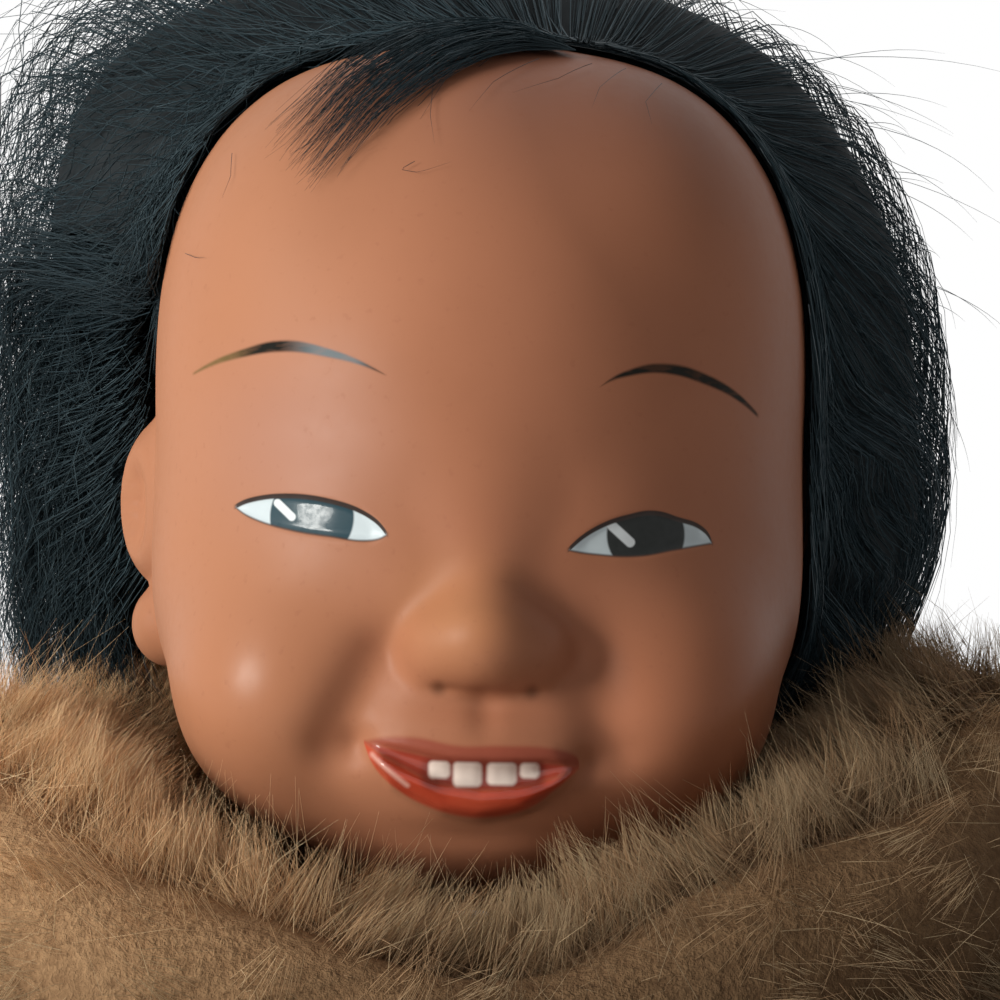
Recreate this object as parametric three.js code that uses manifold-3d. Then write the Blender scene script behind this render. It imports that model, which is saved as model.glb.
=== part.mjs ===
// A doll in Inuit winter dress: a bisque socket head and a jointed body, strung together with elastic,
// wearing a hooded hide parka, trousers, mittens and boots trimmed with fur.
// Millimetres, +Z up. The doll faces -Y and its left hand is on +X.
// The origin is on the floor between the feet.
import * as THREE from "three";
import { mergeVertices } from "three/addons/utils/BufferGeometryUtils.js";
import Module from "manifold-3d";

// Clearances
const SEAT_GAP = 0.3; // between pieces that touch
const JOINT_GAP = 0.8; // between pieces that turn on each other

// Places of the joints
const HIP_HEIGHT = 205;
const HIP_REACH = 28; // from the middle of the body to each hip
const SHOULDER_HEIGHT = 345;
const SHOULDER_REACH = 50;
const NECK_RISE = 43; // from the shoulders to the centre of the neck ball
const NECK_HEIGHT = SHOULDER_HEIGHT + NECK_RISE;
const ARM_SPREAD = 22 * (Math.PI / 180); // how far the arms hang out from the body

// Head, measured from the level of the eyes
const EYE_LEVEL = 53; // above the neck ball
const HEAD_HALF_WIDTH = 38.2;
const CROWN_HEIGHT = 56.5;
const HEAD_BACK = 50; // from the neck axis to the back of the skull
const FACE_FRONT = 40; // from the neck axis to the front of the face
const CHIN_DROP = 39.5;
const NOSE_REACH = 7.8; // beyond the front of the face
const HEAD_WALL = 5;
const CROWN_OPENING = 36; // height of the rim under the pate
const NECK_BALL_RADIUS = 15;
const NECK_RADIUS = 13.5;
const NECK_BUTTON_RADIUS = 10.7;
const NECK_HOLE_RADIUS = 4.5;

// Wig
const CAP_THICKNESS = 1.2;
const HAIR_HALF_WIDTH = 57;
const HAIR_HALF_DEPTH = 46;
const HAIR_SETBACK = 14; // of the middle of the hair behind the neck axis
const HAIR_TOP = 70;
const HAIR_FULLNESS = 2.6; // 2 is an ellipsoid, more is boxier
const HAIR_STAND = 0.6; // how much boxier it is on the right, where it stands away from the head
const HAIR_END = 15; // how far below the eyes the hair at the sides ends
const NAPE_LINE = -8; // height where the hair at the back ends
const TEMPLE_LINE = 1; // how far before the neck axis the hair at the sides begins
const HAIRLINE_HEIGHT = 52;
const HAIRLINE_HALF_WIDTH = 37;

// Stringing
const WIRE_RADIUS = 1.1;
const ELASTIC_RADIUS = 1.5;
const PIN_RADIUS = 1.2;
const HOOK_RADIUS = 3.2; // of the bend, to the middle of the wire
const HOOK_DROP = 26; // from the neck ball to the middle of the bend

// Body
const HIP_HALF_WIDTH = 36;
const WAIST_HALF_WIDTH = 32;
const CHEST_HALF_WIDTH = 38;
const BODY_FLATNESS = 0.8; // depth of the body over its width
const BODY_WALL = 5;
const NECK_RIM_RADIUS = 19;

// Arms and legs
const ARM_BALL_RADIUS = 14;
const UPPER_ARM_RADIUS = 12;
const ELBOW_RADIUS = 10;
const WRIST_RADIUS = 7.8;
const WRIST_REACH = 106; // from the shoulder, along the arm
const HAND_LENGTH = 40;
const LEG_BALL_RADIUS = 17;
const KNEE_RADIUS = 12.5;
const ANKLE_RADIUS = 9.5;
const FOOT_LENGTH = 52;
const FOOT_FORWARD = 7; // of the middle of the foot before the ankle

// Parka
const PARKA_WALL = 4;
const HEM_RISE = 43; // from the hips to the hem
const HEM_HEIGHT = HIP_HEIGHT + HEM_RISE;
const HEM_HALF_WIDTH = 53;
const FLARE_DROP = 52; // how far below the shoulders the parka begins to flare
const YOKE_RADIUS = 23;
const SLEEVE_RADIUS = 24;
const SLEEVE_WALL = 3.5;
const SLEEVE_LENGTH = 104;
const ELBOW_REACH = 60; // from the shoulder, along the arm
const CUFF_LENGTH = 18;
const CUFF_RADIUS = 24;
const BRAID_WIDTH = 8;
const BRAID_THICKNESS = 1.2;
const HEM_TRIM_HEIGHT = 13.5;
const HEM_TRIM_THICKNESS = 10;

// Fur ruff at the edge of the hood, a tilted ring around the face
const RUFF_RADIUS = 60;
const RUFF_TUCK = 7; // how much nearer to the neck its front and back lie
const RUFF_HALF_THICKNESS = 13.5;
const RUFF_HALF_HEIGHT = 19;
const RUFF_LEAN = 18 * (Math.PI / 180); // the top leans outwards
const RUFF_FRONT = -8; // height of the middle of its front, from the neck ball
const RUFF_SIDES = 15.5;
const RUFF_BACK = 12;
const HOOD_WALL = 3;

// Trousers and boots
const TROUSER_RADIUS = 24.5;
const TROUSER_WALL = 4;
const SEAT_DROP = 33; // how far the seat reaches below the hips
const BOOT_HEIGHT = 100;
const BOOT_WALL = 6;
const BOOT_CUFF_HEIGHT = 16;
const BOOT_CUFF_RADIUS = 23;
const SOLE_THICKNESS = 5;
const BOOT_HALF_WIDTH = 16;
const BOOT_LENGTH = 68;
const TIE_RADIUS = 1.1;

// Number of sides of round pieces
const BODY_SIDES = 16;
const LIMB_SIDES = 12;
const SEAT_SIDES = 16; // of hollow seats that a ball turns in
const WIRE_SIDES = 6;
const HEAD_DETAIL = 5;

const FAR = 400; // longer than any cut

const wasm = await Module();
wasm.setup();

// Solids

function solidOf(geometry) {
  const bare = new THREE.BufferGeometry();
  bare.setAttribute("position", geometry.getAttribute("position"));
  bare.setIndex(geometry.getIndex());
  const merged = mergeVertices(bare, 1e-4);
  const place = merged.getAttribute("position").array;
  const corners = [];
  let volume = 0;
  for (let i = 0; i < merged.index.count; i += 3) {
    const [a, b, c] = merged.index.array.slice(i, i + 3);
    if (a === b || b === c || a === c) {
      continue;
    }
    corners.push(a, b, c);
    const [p, q, r] = [a, b, c].map((n) => new THREE.Vector3().fromArray(place, 3 * n));
    volume += p.dot(q.cross(r));
  }
  const triVerts = Uint32Array.from(volume < 0 ? corners.reverse() : corners);
  return new wasm.Manifold(new wasm.Mesh({ numProp: 3, vertProperties: place, triVerts }));
}

function geometryOf(solid) {
  const mesh = solid.getMesh();
  const geometry = new THREE.BufferGeometry();
  const place = Float32Array.from(mesh.vertProperties);
  geometry.setAttribute("position", new THREE.BufferAttribute(place, 3));
  geometry.setIndex(new THREE.BufferAttribute(Uint32Array.from(mesh.triVerts), 1));
  return geometry;
}

function moveVertices(geometry, move) {
  const place = geometry.getAttribute("position");
  const point = new THREE.Vector3();
  for (let i = 0; i < place.count; i++) {
    point.fromBufferAttribute(place, i);
    move(point);
    place.setXYZ(i, point.x, point.y, point.z);
  }
  return geometry;
}

const at = (x, y) => new THREE.Vector2(x, y);
const smoothStep = THREE.MathUtils.smoothstep;

// A profile of [radius, height] points turned about Z.
function turned(points, sides = LIMB_SIDES) {
  return new THREE.LatheGeometry(points, sides).rotateX(Math.PI / 2);
}

// Points of an arc about [0, height], from one angle above the horizon to another.
function arc(radius, height, from, to, steps = 5) {
  const points = [];
  for (let i = 0; i <= steps; i++) {
    const angle = from + ((to - from) * i) / steps;
    points.push(at(radius * Math.cos(angle), height + radius * Math.sin(angle)));
  }
  points.filter((p) => Math.abs(p.x) < 1e-9).forEach((p) => (p.x = 0));
  return points;
}

const smooth = (points, steps) => new THREE.SplineCurve(points).getPoints(steps);

function ellipsoid(centre, radii, across = 12, down = 8) {
  return new THREE.SphereGeometry(1, across, down).scale(...radii).translate(...centre);
}

function box(low, high) {
  const size = high.map((value, axis) => value - low[axis]);
  const middle = high.map((value, axis) => (value + low[axis]) / 2);
  return new THREE.BoxGeometry(...size).translate(...middle);
}

// A rod along X.
function rodAlongX(radius, from, to, sides = LIMB_SIDES) {
  const rod = new THREE.CylinderGeometry(radius, radius, to - from, sides);
  return rod.rotateZ(Math.PI / 2).translate((from + to) / 2, 0, 0);
}

// A round wire or cord along points, smoothly curved.
function wire(points, radius, steps, sides = WIRE_SIDES) {
  const path = new THREE.CatmullRomCurve3(points.map((p) => new THREE.Vector3(...p)));
  const section = new THREE.Shape();
  section.absarc(0, 0, radius, 0, 2 * Math.PI);
  const options = { steps, extrudePath: path, bevelEnabled: false, curveSegments: sides / 2 };
  return new THREE.ExtrudeGeometry(section, options);
}

// Materials

function material(hex, roughness, metalness = 0) {
  return new THREE.MeshStandardMaterial({ color: hex, roughness, metalness });
}

const BISQUE = material(0xa9694b, 0.45);
const HAIR = material(0x15171b, 0.5);
const FUR = material(0x8a6f52, 0.95);
const HIDE = material(0x9a6b42, 0.9);
const CLOTH = material(0x39404d, 0.95);
const BOOT_HIDE = material(0x6d4a30, 0.8);
const SOLE_HIDE = material(0x3d2b1e, 0.85);
const BRAID = material(0xa8322b, 0.9);
const WOOD = material(0xb08a5a, 0.7);
const STEEL = material(0x9a9c9f, 0.35, 1);
const ELASTIC = material(0xd8d2c4, 0.9);
const COMPOSITION = material(0xb98a63, 0.6);
const CAP_NET = material(0x1c1a18, 0.9);
const PATE_BOARD = material(0xa98b62, 0.9);

const doll = new THREE.Group();

function add(group, name, geometry, finish) {
  const mesh = new THREE.Mesh(geometry, finish);
  mesh.name = name;
  group.add(mesh);
  return mesh;
}

// Head: the sculpted surface, as a distance field in the frame of the eyes

function ellipsoidField(p, centre, radii) {
  const q = p.clone().sub(centre);
  const near = q.clone().divide(radii);
  const steep = near.clone().divide(radii);
  const length = near.length();
  return (length * (length - 1)) / Math.max(steep.length(), 1e-6);
}

function capsuleField(p, from, to, fromRadius, toRadius) {
  const along = to.clone().sub(from);
  const share = THREE.MathUtils.clamp(p.clone().sub(from).dot(along) / along.lengthSq(), 0, 1);
  const nearest = from.clone().addScaledVector(along, share);
  return p.distanceTo(nearest) - THREE.MathUtils.lerp(fromRadius, toRadius, share);
}

// Joins two fields with a fillet.
function fuse(a, b, fillet) {
  const share = Math.max(fillet - Math.abs(a - b), 0) / fillet;
  return Math.min(a, b) - (share * share * fillet) / 4;
}

const v = (x, y, z) => new THREE.Vector3(x, y, z);
const SKULL_MIDDLE = v(0, (HEAD_BACK - FACE_FRONT) / 2, 12);
const SKULL = v(HEAD_HALF_WIDTH, (HEAD_BACK + FACE_FRONT) / 2, CROWN_HEIGHT - SKULL_MIDDLE.z);

function headField(p) {
  const q = v(Math.abs(p.x), p.y, p.z);
  const front = -FACE_FRONT;
  const chin = -CHIN_DROP;
  let field = ellipsoidField(q, SKULL_MIDDLE, SKULL);
  field = fuse(field, ellipsoidField(q, v(0, front + 35, -9), v(HEAD_HALF_WIDTH - 1.7, 35.5, 29)), 8);
  field = fuse(field, ellipsoidField(q, v(0, front + 21, chin + 12.8), v(21.5, 18.5, 12.8)), 10);
  field = fuse(field, ellipsoidField(q, v(18, front + 17, -18), v(13.8, 16.8, 14)), 7);
  field = fuse(field, ellipsoidField(q, v(0, front + 11.5, -22.5), v(14.5, 13, 9.5)), 7);
  const tip = v(0, front + 5.4 - NOSE_REACH, -12.3);
  const wing = v(6, tip.y + 2.8, -13.2);
  const ridge = capsuleField(q, v(0, front + 6.6, 8), tip, 5.2, 5.4);
  const sides = capsuleField(q, v(3.6, front + 6.2, 4), wing, 4, 4);
  field = fuse(field, fuse(ridge, sides, 6), 2.4 + 7 * smoothStep(q.z, -11, 3));
  const ear = ellipsoidField(q, v(HEAD_HALF_WIDTH - 1.2, 7, 1.6), v(6, 7.5, 10.4));
  const lobe = ellipsoidField(q, v(HEAD_HALF_WIDTH - 2, 4.5, -12.8), v(4.8, 4.8, 5.2));
  return fuse(field, fuse(ear, lobe, 1.5), 2);
}

// How far the surface of a field lies from the level of the eyes, in a direction.
function reachOf(field, direction) {
  let inside = 10;
  let outside = 90;
  for (let i = 0; i < 30; i++) {
    const middle = (inside + outside) / 2;
    if (field(direction.clone().multiplyScalar(middle)) < 0) {
      inside = middle;
    } else {
      outside = middle;
    }
  }
  return inside;
}

const headReach = (direction) => reachOf(headField, direction);

// The head's surface moved outwards by a distance that may depend on the direction.
function headShape(detail, outwards) {
  const ball = new THREE.IcosahedronGeometry(1, detail);
  return solidOf(
    moveVertices(ball, (p) => {
      const direction = p.clone().normalize();
      const reach = headReach(direction) + outwards(direction);
      p.copy(direction.multiplyScalar(reach));
    }),
  );
}

const sphereEdge = (radius, across) => Math.sqrt(radius * radius - across * across);
const below = (height) => box([-FAR, -FAR, -FAR], [FAR, FAR, height]);
const above = (height) => box([-FAR, -FAR, height], [FAR, FAR, FAR]);

const head = new THREE.Group();
head.position.set(0, 0, NECK_HEIGHT + EYE_LEVEL);
doll.add(head);

const outerHead = headShape(HEAD_DETAIL, () => 0);
const innerHead = headShape(3, () => -HEAD_WALL);

// The neck and its ball, hollow, with a hole below for the hook. Heights from the centre of the ball.
function neckShape() {
  const seat = NECK_BUTTON_RADIUS + JOINT_GAP;
  const bore = seat - 1.5;
  const top = EYE_LEVEL - CHIN_DROP + 18;
  const holeAngle = (radius) => -Math.acos(NECK_HOLE_RADIUS / radius);
  const neckAngle = Math.acos(NECK_RADIUS / NECK_BALL_RADIUS);
  const outside = arc(NECK_BALL_RADIUS, 0, holeAngle(NECK_BALL_RADIUS), neckAngle);
  const inside = arc(seat, 0, Math.acos(bore / seat), holeAngle(seat));
  return turned([...outside, at(NECK_RADIUS, top), at(bore, top), ...inside, outside[0]]);
}

function headPiece() {
  const neck = solidOf(neckShape().translate(0, 0, -EYE_LEVEL));
  const bore = NECK_BUTTON_RADIUS + JOINT_GAP - 1.5;
  const throat = turned([at(0, 3), at(bore, 3), at(bore, 40), at(0, 40)]).translate(0, 0, -EYE_LEVEL);
  const shell = outerHead.subtract(innerHead).add(neck).subtract(solidOf(throat));
  return geometryOf(shell.subtract(solidOf(above(CROWN_OPENING))));
}

add(head, "head", headPiece(), BISQUE);

function patePiece() {
  const shell = outerHead.subtract(innerHead);
  return geometryOf(shell.intersect(solidOf(above(CROWN_OPENING + SEAT_GAP))));
}

add(head, "pate", patePiece(), PATE_BOARD);

// Wig: a cap over the pate and skull, and the loose hair in five locks

const capInside = headShape(HEAD_DETAIL, () => SEAT_GAP);
const capOutside = headShape(HEAD_DETAIL, () => SEAT_GAP + CAP_THICKNESS);
const hairInside = headShape(HEAD_DETAIL, () => 2 * SEAT_GAP + CAP_THICKNESS);

const HAIR_MIDDLE = v(0, HAIR_SETBACK, SKULL_MIDDLE.z);
const HAIR_SIZE = v(HAIR_HALF_WIDTH, HAIR_HALF_DEPTH, HAIR_TOP - HAIR_MIDDLE.z);

// The outside of the hair, a rounded box about the skull, below zero inside.
function hairField(p) {
  const q = p.clone().sub(HAIR_MIDDLE).divide(HAIR_SIZE);
  const fullness = HAIR_FULLNESS - HAIR_STAND * Math.max(-1, Math.min(1, q.x));
  return [q.x, q.y, q.z].reduce((sum, part) => sum + Math.abs(part) ** fullness, -1);
}

// How far the hair stands off the head in a direction.
function hairThickness(direction) {
  const least = 2 * SEAT_GAP + CAP_THICKNESS + 1;
  return Math.max(reachOf(hairField, direction) - headReach(direction), least);
}

const hairOutside = headShape(HEAD_DETAIL, hairThickness);

// The opening of the hair around the face, grown on every side by a margin.
function faceWindow(margin) {
  const outline = new THREE.Shape();
  const drop = HAIRLINE_HEIGHT * 0.9;
  const middle = (HAIRLINE_HEIGHT - drop) / 2;
  const halfHeight = (HAIRLINE_HEIGHT + drop) / 2 + margin;
  outline.absellipse(0, middle, HAIRLINE_HALF_WIDTH + margin, halfHeight, 0, 2 * Math.PI);
  const window = new THREE.ExtrudeGeometry(outline, { depth: FAR, bevelEnabled: false, curveSegments: 16 });
  return window.rotateX(Math.PI / 2).translate(0, -2, 0);
}

function wigCapPiece() {
  const shell = capOutside.subtract(capInside).subtract(solidOf(faceWindow(0)));
  const ears = solidOf(box([-FAR, -FAR, -FAR], [FAR, 16, 13]));
  return geometryOf(shell.subtract(ears).subtract(solidOf(below(-HAIR_END))));
}

add(head, "wig_cap", wigCapPiece(), CAP_NET);

// The room in front of the hair: upright beside the face, and leaning forwards over the forehead.
function frontRoom(margin) {
  const line = new THREE.Shape();
  const temple = TEMPLE_LINE + margin;
  const brow = HAIRLINE_HEIGHT / 2 - margin;
  line.moveTo(-FAR, -FAR);
  line.lineTo(-temple, -FAR);
  line.lineTo(-temple, brow);
  line.lineTo(-FACE_FRONT * 0.7 - margin, HAIRLINE_HEIGHT + 4);
  line.lineTo(-FACE_FRONT * 0.7 - margin, FAR);
  line.lineTo(-FAR, FAR);
  const room = new THREE.ExtrudeGeometry(line, { depth: 2 * FAR, bevelEnabled: false });
  const standing = new THREE.Matrix4().set(0, 0, 1, 0, 1, 0, 0, 0, 0, 1, 0, 0, 0, 0, 0, 1);
  return room.translate(0, 0, -FAR).applyMatrix4(standing);
}

// One lock: the part of the loose hair inside a box.
function hairLock(low, high) {
  const loose = hairOutside.subtract(hairInside);
  const cut = loose.subtract(solidOf(faceWindow(0))).subtract(solidOf(frontRoom(0)));
  return geometryOf(cut.intersect(solidOf(box(low, high))));
}

const PARTING = 33; // height where the crown hair meets the sides
const BACK_LINE = 16; // where the side hair meets the back
const half = SEAT_GAP / 2;

add(head, "hair_crown", hairLock([-FAR, -FAR, PARTING + half], [FAR, FAR, FAR]), HAIR);
add(head, "hair_left", hairLock([half, -FAR, -HAIR_END], [FAR, BACK_LINE - half, PARTING - half]), HAIR);
add(head, "hair_right", hairLock([-FAR, -FAR, -HAIR_END], [-half, BACK_LINE - half, PARTING - half]), HAIR);
add(head, "hair_back", hairLock([-FAR, BACK_LINE + half, NAPE_LINE], [FAR, FAR, PARTING - half]), HAIR);

// The lock that is swept over the forehead towards the right temple.
function fringePiece() {
  const lock = ellipsoid([0, 0, 0], [15, 5, 4.5]);
  lock.rotateZ(0.5).rotateY(-0.6).translate(-12, -29, HAIRLINE_HEIGHT - 7);
  const hairGrown = headShape(HEAD_DETAIL, (d) => hairThickness(d) + SEAT_GAP);
  const beside = hairGrown.subtract(solidOf(faceWindow(-SEAT_GAP))).subtract(solidOf(frontRoom(SEAT_GAP)));
  return geometryOf(solidOf(lock).subtract(headShape(HEAD_DETAIL, () => SEAT_GAP)).subtract(beside));
}

add(head, "fringe_lock", fringePiece(), HAIR);

// Neck button and hook, which turn with the head but do not nod with it

const neck = new THREE.Group();
neck.position.set(0, 0, NECK_HEIGHT);
doll.add(neck);

const BUTTON_TOP = 3;
const WASHER_THICKNESS = 1.5;

function neckButtonPiece() {
  const bore = WIRE_RADIUS + SEAT_GAP;
  const low = -Math.acos(bore / NECK_BUTTON_RADIUS);
  const high = Math.asin(BUTTON_TOP / NECK_BUTTON_RADIUS);
  const outside = arc(NECK_BUTTON_RADIUS, 0, low, high);
  return turned([...outside, at(bore, BUTTON_TOP), outside[0]]);
}

add(neck, "neck_button", neckButtonPiece(), WOOD);

function washerPiece() {
  const bore = WIRE_RADIUS + SEAT_GAP;
  const low = BUTTON_TOP + SEAT_GAP;
  const high = low + WASHER_THICKNESS;
  const rim = 2 * bore + 2;
  return turned([at(bore, low), at(rim, low), at(rim, high), at(bore, high), at(bore, low)]);
}

add(neck, "hook_washer", washerPiece(), STEEL);

// Half a turn of wire in the YZ plane, with its open side up, as points for a wire.
function bend(radius, height) {
  return [0, 1, 2, 3, 4].map((n) => {
    const angle = (n * Math.PI) / 4;
    return [0, radius * Math.cos(angle), height - radius * Math.sin(angle)];
  });
}

function headHookPiece() {
  const top = BUTTON_TOP + 2 * SEAT_GAP + WASHER_THICKNESS;
  const wide = WIRE_RADIUS * 2.2;
  const head = turned([at(0, top), at(wide, top), at(wide, top + 2), at(0, top + 2)]);
  const straight = -NECK_BALL_RADIUS - 3;
  const shank = [
    [0, 0, top + 1],
    [0, 0, -NECK_BUTTON_RADIUS],
    [0, 0, straight],
    [0, HOOK_RADIUS, straight - 4],
  ];
  const path = [...shank, ...bend(HOOK_RADIUS, -HOOK_DROP)];
  return geometryOf(solidOf(head).add(solidOf(wire(path, WIRE_RADIUS, 20))));
}

add(neck, "head_hook", headHookPiece(), STEEL);

// Torso: a hollow shell in two halves, with a bowl for the neck ball and seats for the limbs

const TORSO_BOTTOM = HIP_HEIGHT + 2;
const WAIST_HEIGHT = (HIP_HEIGHT + SHOULDER_HEIGHT) / 2 - 13;

// The body is an ellipse below the shoulders and round at the neck.
function flattened(geometry) {
  return moveVertices(geometry, (p) => {
    p.y *= THREE.MathUtils.lerp(BODY_FLATNESS, 1, smoothStep(p.z, SHOULDER_HEIGHT, NECK_HEIGHT - 12));
  });
}

// The outline of the torso from the bottom to the rim of the neck.
function torsoOutline(grow) {
  const rim = NECK_RIM_RADIUS + grow;
  return smooth(
    [
      at(HIP_HALF_WIDTH - 3 + grow, TORSO_BOTTOM - grow),
      at(HIP_HALF_WIDTH + grow, HIP_HEIGHT + 25),
      at(WAIST_HALF_WIDTH + grow, WAIST_HEIGHT),
      at(CHEST_HALF_WIDTH - 1 + grow, SHOULDER_HEIGHT - 35),
      at(CHEST_HALF_WIDTH + grow, SHOULDER_HEIGHT),
      at((CHEST_HALF_WIDTH + NECK_RIM_RADIUS) / 2 + grow, SHOULDER_HEIGHT + 17),
      at(rim + 1.5, NECK_HEIGHT - 15),
      at(rim, NECK_HEIGHT - 4),
    ],
    10,
  );
}

// The torso as a filled form, for cutting what is worn over it.
function torsoForm(grow) {
  const outline = torsoOutline(grow);
  const ends = [at(0, outline[0].y), ...outline, at(0, outline[outline.length - 1].y)];
  return solidOf(flattened(turned(ends, BODY_SIDES)));
}

function torsoShell() {
  const bowl = NECK_BALL_RADIUS + JOINT_GAP;
  const hole = NECK_HOLE_RADIUS + 0.5;
  const rimAngle = -Math.asin(4 / bowl);
  const seat = arc(bowl, NECK_HEIGHT, rimAngle, -Math.acos(hole / bowl));
  const inner = smooth(
    [
      at(hole, NECK_HEIGHT - 22),
      at(CHEST_HALF_WIDTH - 3 * BODY_WALL, SHOULDER_HEIGHT + 12),
      at(CHEST_HALF_WIDTH - BODY_WALL, SHOULDER_HEIGHT - 4),
      at(CHEST_HALF_WIDTH - 1 - BODY_WALL, SHOULDER_HEIGHT - 35),
      at(WAIST_HALF_WIDTH - BODY_WALL, WAIST_HEIGHT),
      at(HIP_HALF_WIDTH - BODY_WALL, HIP_HEIGHT + 25),
      at(HIP_HALF_WIDTH - 3 - BODY_WALL, TORSO_BOTTOM + BODY_WALL),
    ],
    6,
  );
  const outline = torsoOutline(0);
  const ends = [at(0, TORSO_BOTTOM), ...outline, ...seat, ...inner, at(0, TORSO_BOTTOM + BODY_WALL)];
  return solidOf(flattened(turned(ends, BODY_SIDES)));
}

// The room that a leg needs to swing forwards, from the hip down.
function legRoom(side, radius) {
  const x = side * HIP_REACH;
  const ball = solidOf(ellipsoid([x, 0, HIP_HEIGHT], [radius, radius, radius], SEAT_SIDES, 12));
  const front = box([x - radius, -FAR, -FAR], [x + radius, 0, HIP_HEIGHT + radius]);
  return ball.add(solidOf(front));
}

function torso() {
  let shell = torsoShell();
  const armSeat = ARM_BALL_RADIUS + JOINT_GAP;
  for (const side of [-1, 1]) {
    const centre = [side * SHOULDER_REACH, 0, SHOULDER_HEIGHT];
    shell = shell.subtract(solidOf(ellipsoid(centre, [armSeat, armSeat, armSeat], SEAT_SIDES, 12)));
    shell = shell.subtract(legRoom(side, LEG_BALL_RADIUS + JOINT_GAP));
  }
  const cordWay = rodAlongX(2.5 * ELASTIC_RADIUS, -FAR, FAR, 12).translate(0, 0, SHOULDER_HEIGHT);
  return shell.subtract(solidOf(cordWay));
}

const wholeTorso = torso();
const frontHalf = box([-FAR, -FAR, -FAR], [FAR, -SEAT_GAP / 2, FAR]);
const backHalf = box([-FAR, SEAT_GAP / 2, -FAR], [FAR, FAR, FAR]);
add(doll, "torso_front", geometryOf(wholeTorso.intersect(solidOf(frontHalf))), COMPOSITION);
add(doll, "torso_back", geometryOf(wholeTorso.intersect(solidOf(backHalf))), COMPOSITION);

// Elastic: one cord from arm to arm, and one from leg to leg over the hook of the head

const LOOP_RADIUS = PIN_RADIUS + SEAT_GAP + ELASTIC_RADIUS; // of the cord's loop around a pin

function cordLoop() {
  return new THREE.TorusGeometry(LOOP_RADIUS, ELASTIC_RADIUS, WIRE_SIDES, 10);
}

function armElasticPiece() {
  const end = SHOULDER_REACH - LOOP_RADIUS;
  const slack = 3 * (ELASTIC_RADIUS + WIRE_RADIUS); // the cord passes behind the hook and the leg cord
  const path = [[-end, 0, 0], [-end * 0.6, 1, 0], [0, slack, 0], [end * 0.6, 1, 0], [end, 0, 0]];
  let cord = solidOf(wire(path, ELASTIC_RADIUS, 10));
  for (const side of [-1, 1]) {
    const loop = cordLoop().rotateX(Math.PI / 2).translate(side * SHOULDER_REACH, 0, 0);
    cord = cord.add(solidOf(loop));
  }
  return geometryOf(cord.translate([0, 0, SHOULDER_HEIGHT]));
}

add(doll, "arm_elastic", armElasticPiece(), ELASTIC);

function legElasticPiece() {
  const top = NECK_HEIGHT - HOOK_DROP;
  const low = HIP_HEIGHT + LOOP_RADIUS;
  const arch = [[-5.5, 0, top - 8], [-4.2, 0, top - 3], [0, 0, top], [4.2, 0, top - 3], [5.5, 0, top - 8]];
  let cord = solidOf(wire(arch, ELASTIC_RADIUS, 8));
  for (const side of [-1, 1]) {
    const straight = [[side * HIP_REACH, 0, low], [side * 5.4, 0, top - 7]];
    const loop = cordLoop().rotateY(Math.PI / 2).translate(side * HIP_REACH, 0, HIP_HEIGHT);
    cord = cord.add(solidOf(wire(straight, ELASTIC_RADIUS, 1))).add(solidOf(loop));
  }
  return geometryOf(cord);
}

add(doll, "leg_elastic", legElasticPiece(), ELASTIC);

// Parka: the body with a yoke across the shoulders

const NECKLINE_HEIGHT = NECK_HEIGHT - 11;
const ARMHOLE = CHEST_HALF_WIDTH + SEAT_GAP + PARKA_WALL; // where the body of the parka meets the sleeve

// The outside of the parka from the hem up.
function parkaOutline(grow) {
  const neckline = NECK_RIM_RADIUS + 1.5 + SEAT_GAP + PARKA_WALL;
  return [
    at(HEM_HALF_WIDTH + grow, HEM_HEIGHT),
    ...smooth(
      [
        at(HEM_HALF_WIDTH - 1.5 + grow, HEM_HEIGHT + 14),
        at(ARMHOLE + 0.3 + grow, SHOULDER_HEIGHT - FLARE_DROP),
        at(ARMHOLE + grow, SHOULDER_HEIGHT - 15),
        at(ARMHOLE + grow, SHOULDER_HEIGHT),
        at((CHEST_HALF_WIDTH + NECK_RIM_RADIUS) / 2 + SEAT_GAP + PARKA_WALL + grow, SHOULDER_HEIGHT + 17),
        at(neckline + grow, NECKLINE_HEIGHT),
      ],
      7,
    ),
  ];
}

// The parka as a filled form, for cutting what is worn over it.
function parkaForm(grow) {
  const outline = parkaOutline(grow);
  const ends = [at(0, HEM_HEIGHT), ...outline, at(0, NECKLINE_HEIGHT)];
  const yoke = rodAlongX(YOKE_RADIUS + grow, -ARMHOLE, ARMHOLE, BODY_SIDES);
  yoke.translate(0, 0, SHOULDER_HEIGHT);
  return solidOf(flattened(turned(ends, BODY_SIDES))).add(solidOf(yoke));
}

function parkaPiece() {
  const loose = [
    at(0, HEM_HEIGHT - 1),
    at(HEM_HALF_WIDTH - PARKA_WALL, HEM_HEIGHT - 1),
    at(CHEST_HALF_WIDTH + SEAT_GAP, SHOULDER_HEIGHT - FLARE_DROP),
    at(CHEST_HALF_WIDTH + SEAT_GAP, SHOULDER_HEIGHT - 10),
    at(0, SHOULDER_HEIGHT - 10),
  ];
  const inside = solidOf(flattened(turned(loose, BODY_SIDES))).add(torsoForm(SEAT_GAP));
  const armWay = rodAlongX(ARM_BALL_RADIUS + 1, -FAR, FAR).translate(0, 0, SHOULDER_HEIGHT);
  return geometryOf(parkaForm(0).subtract(inside).subtract(solidOf(armWay)));
}

add(doll, "parka", parkaPiece(), HIDE);

// A band of braid that lies on the parka above the hem.
function hemBraidPiece() {
  const low = HEM_HEIGHT + 3;
  const high = low + BRAID_WIDTH;
  const around = (height) => HEM_HALF_WIDTH - (1.5 * (height - HEM_HEIGHT)) / 14 + 2 * SEAT_GAP;
  const profile = [
    at(around(low), low),
    at(around(low) + BRAID_THICKNESS, low),
    at(around(high) + BRAID_THICKNESS, high),
    at(around(high), high),
    at(around(low), low),
  ];
  return flattened(turned(profile, BODY_SIDES));
}

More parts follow.
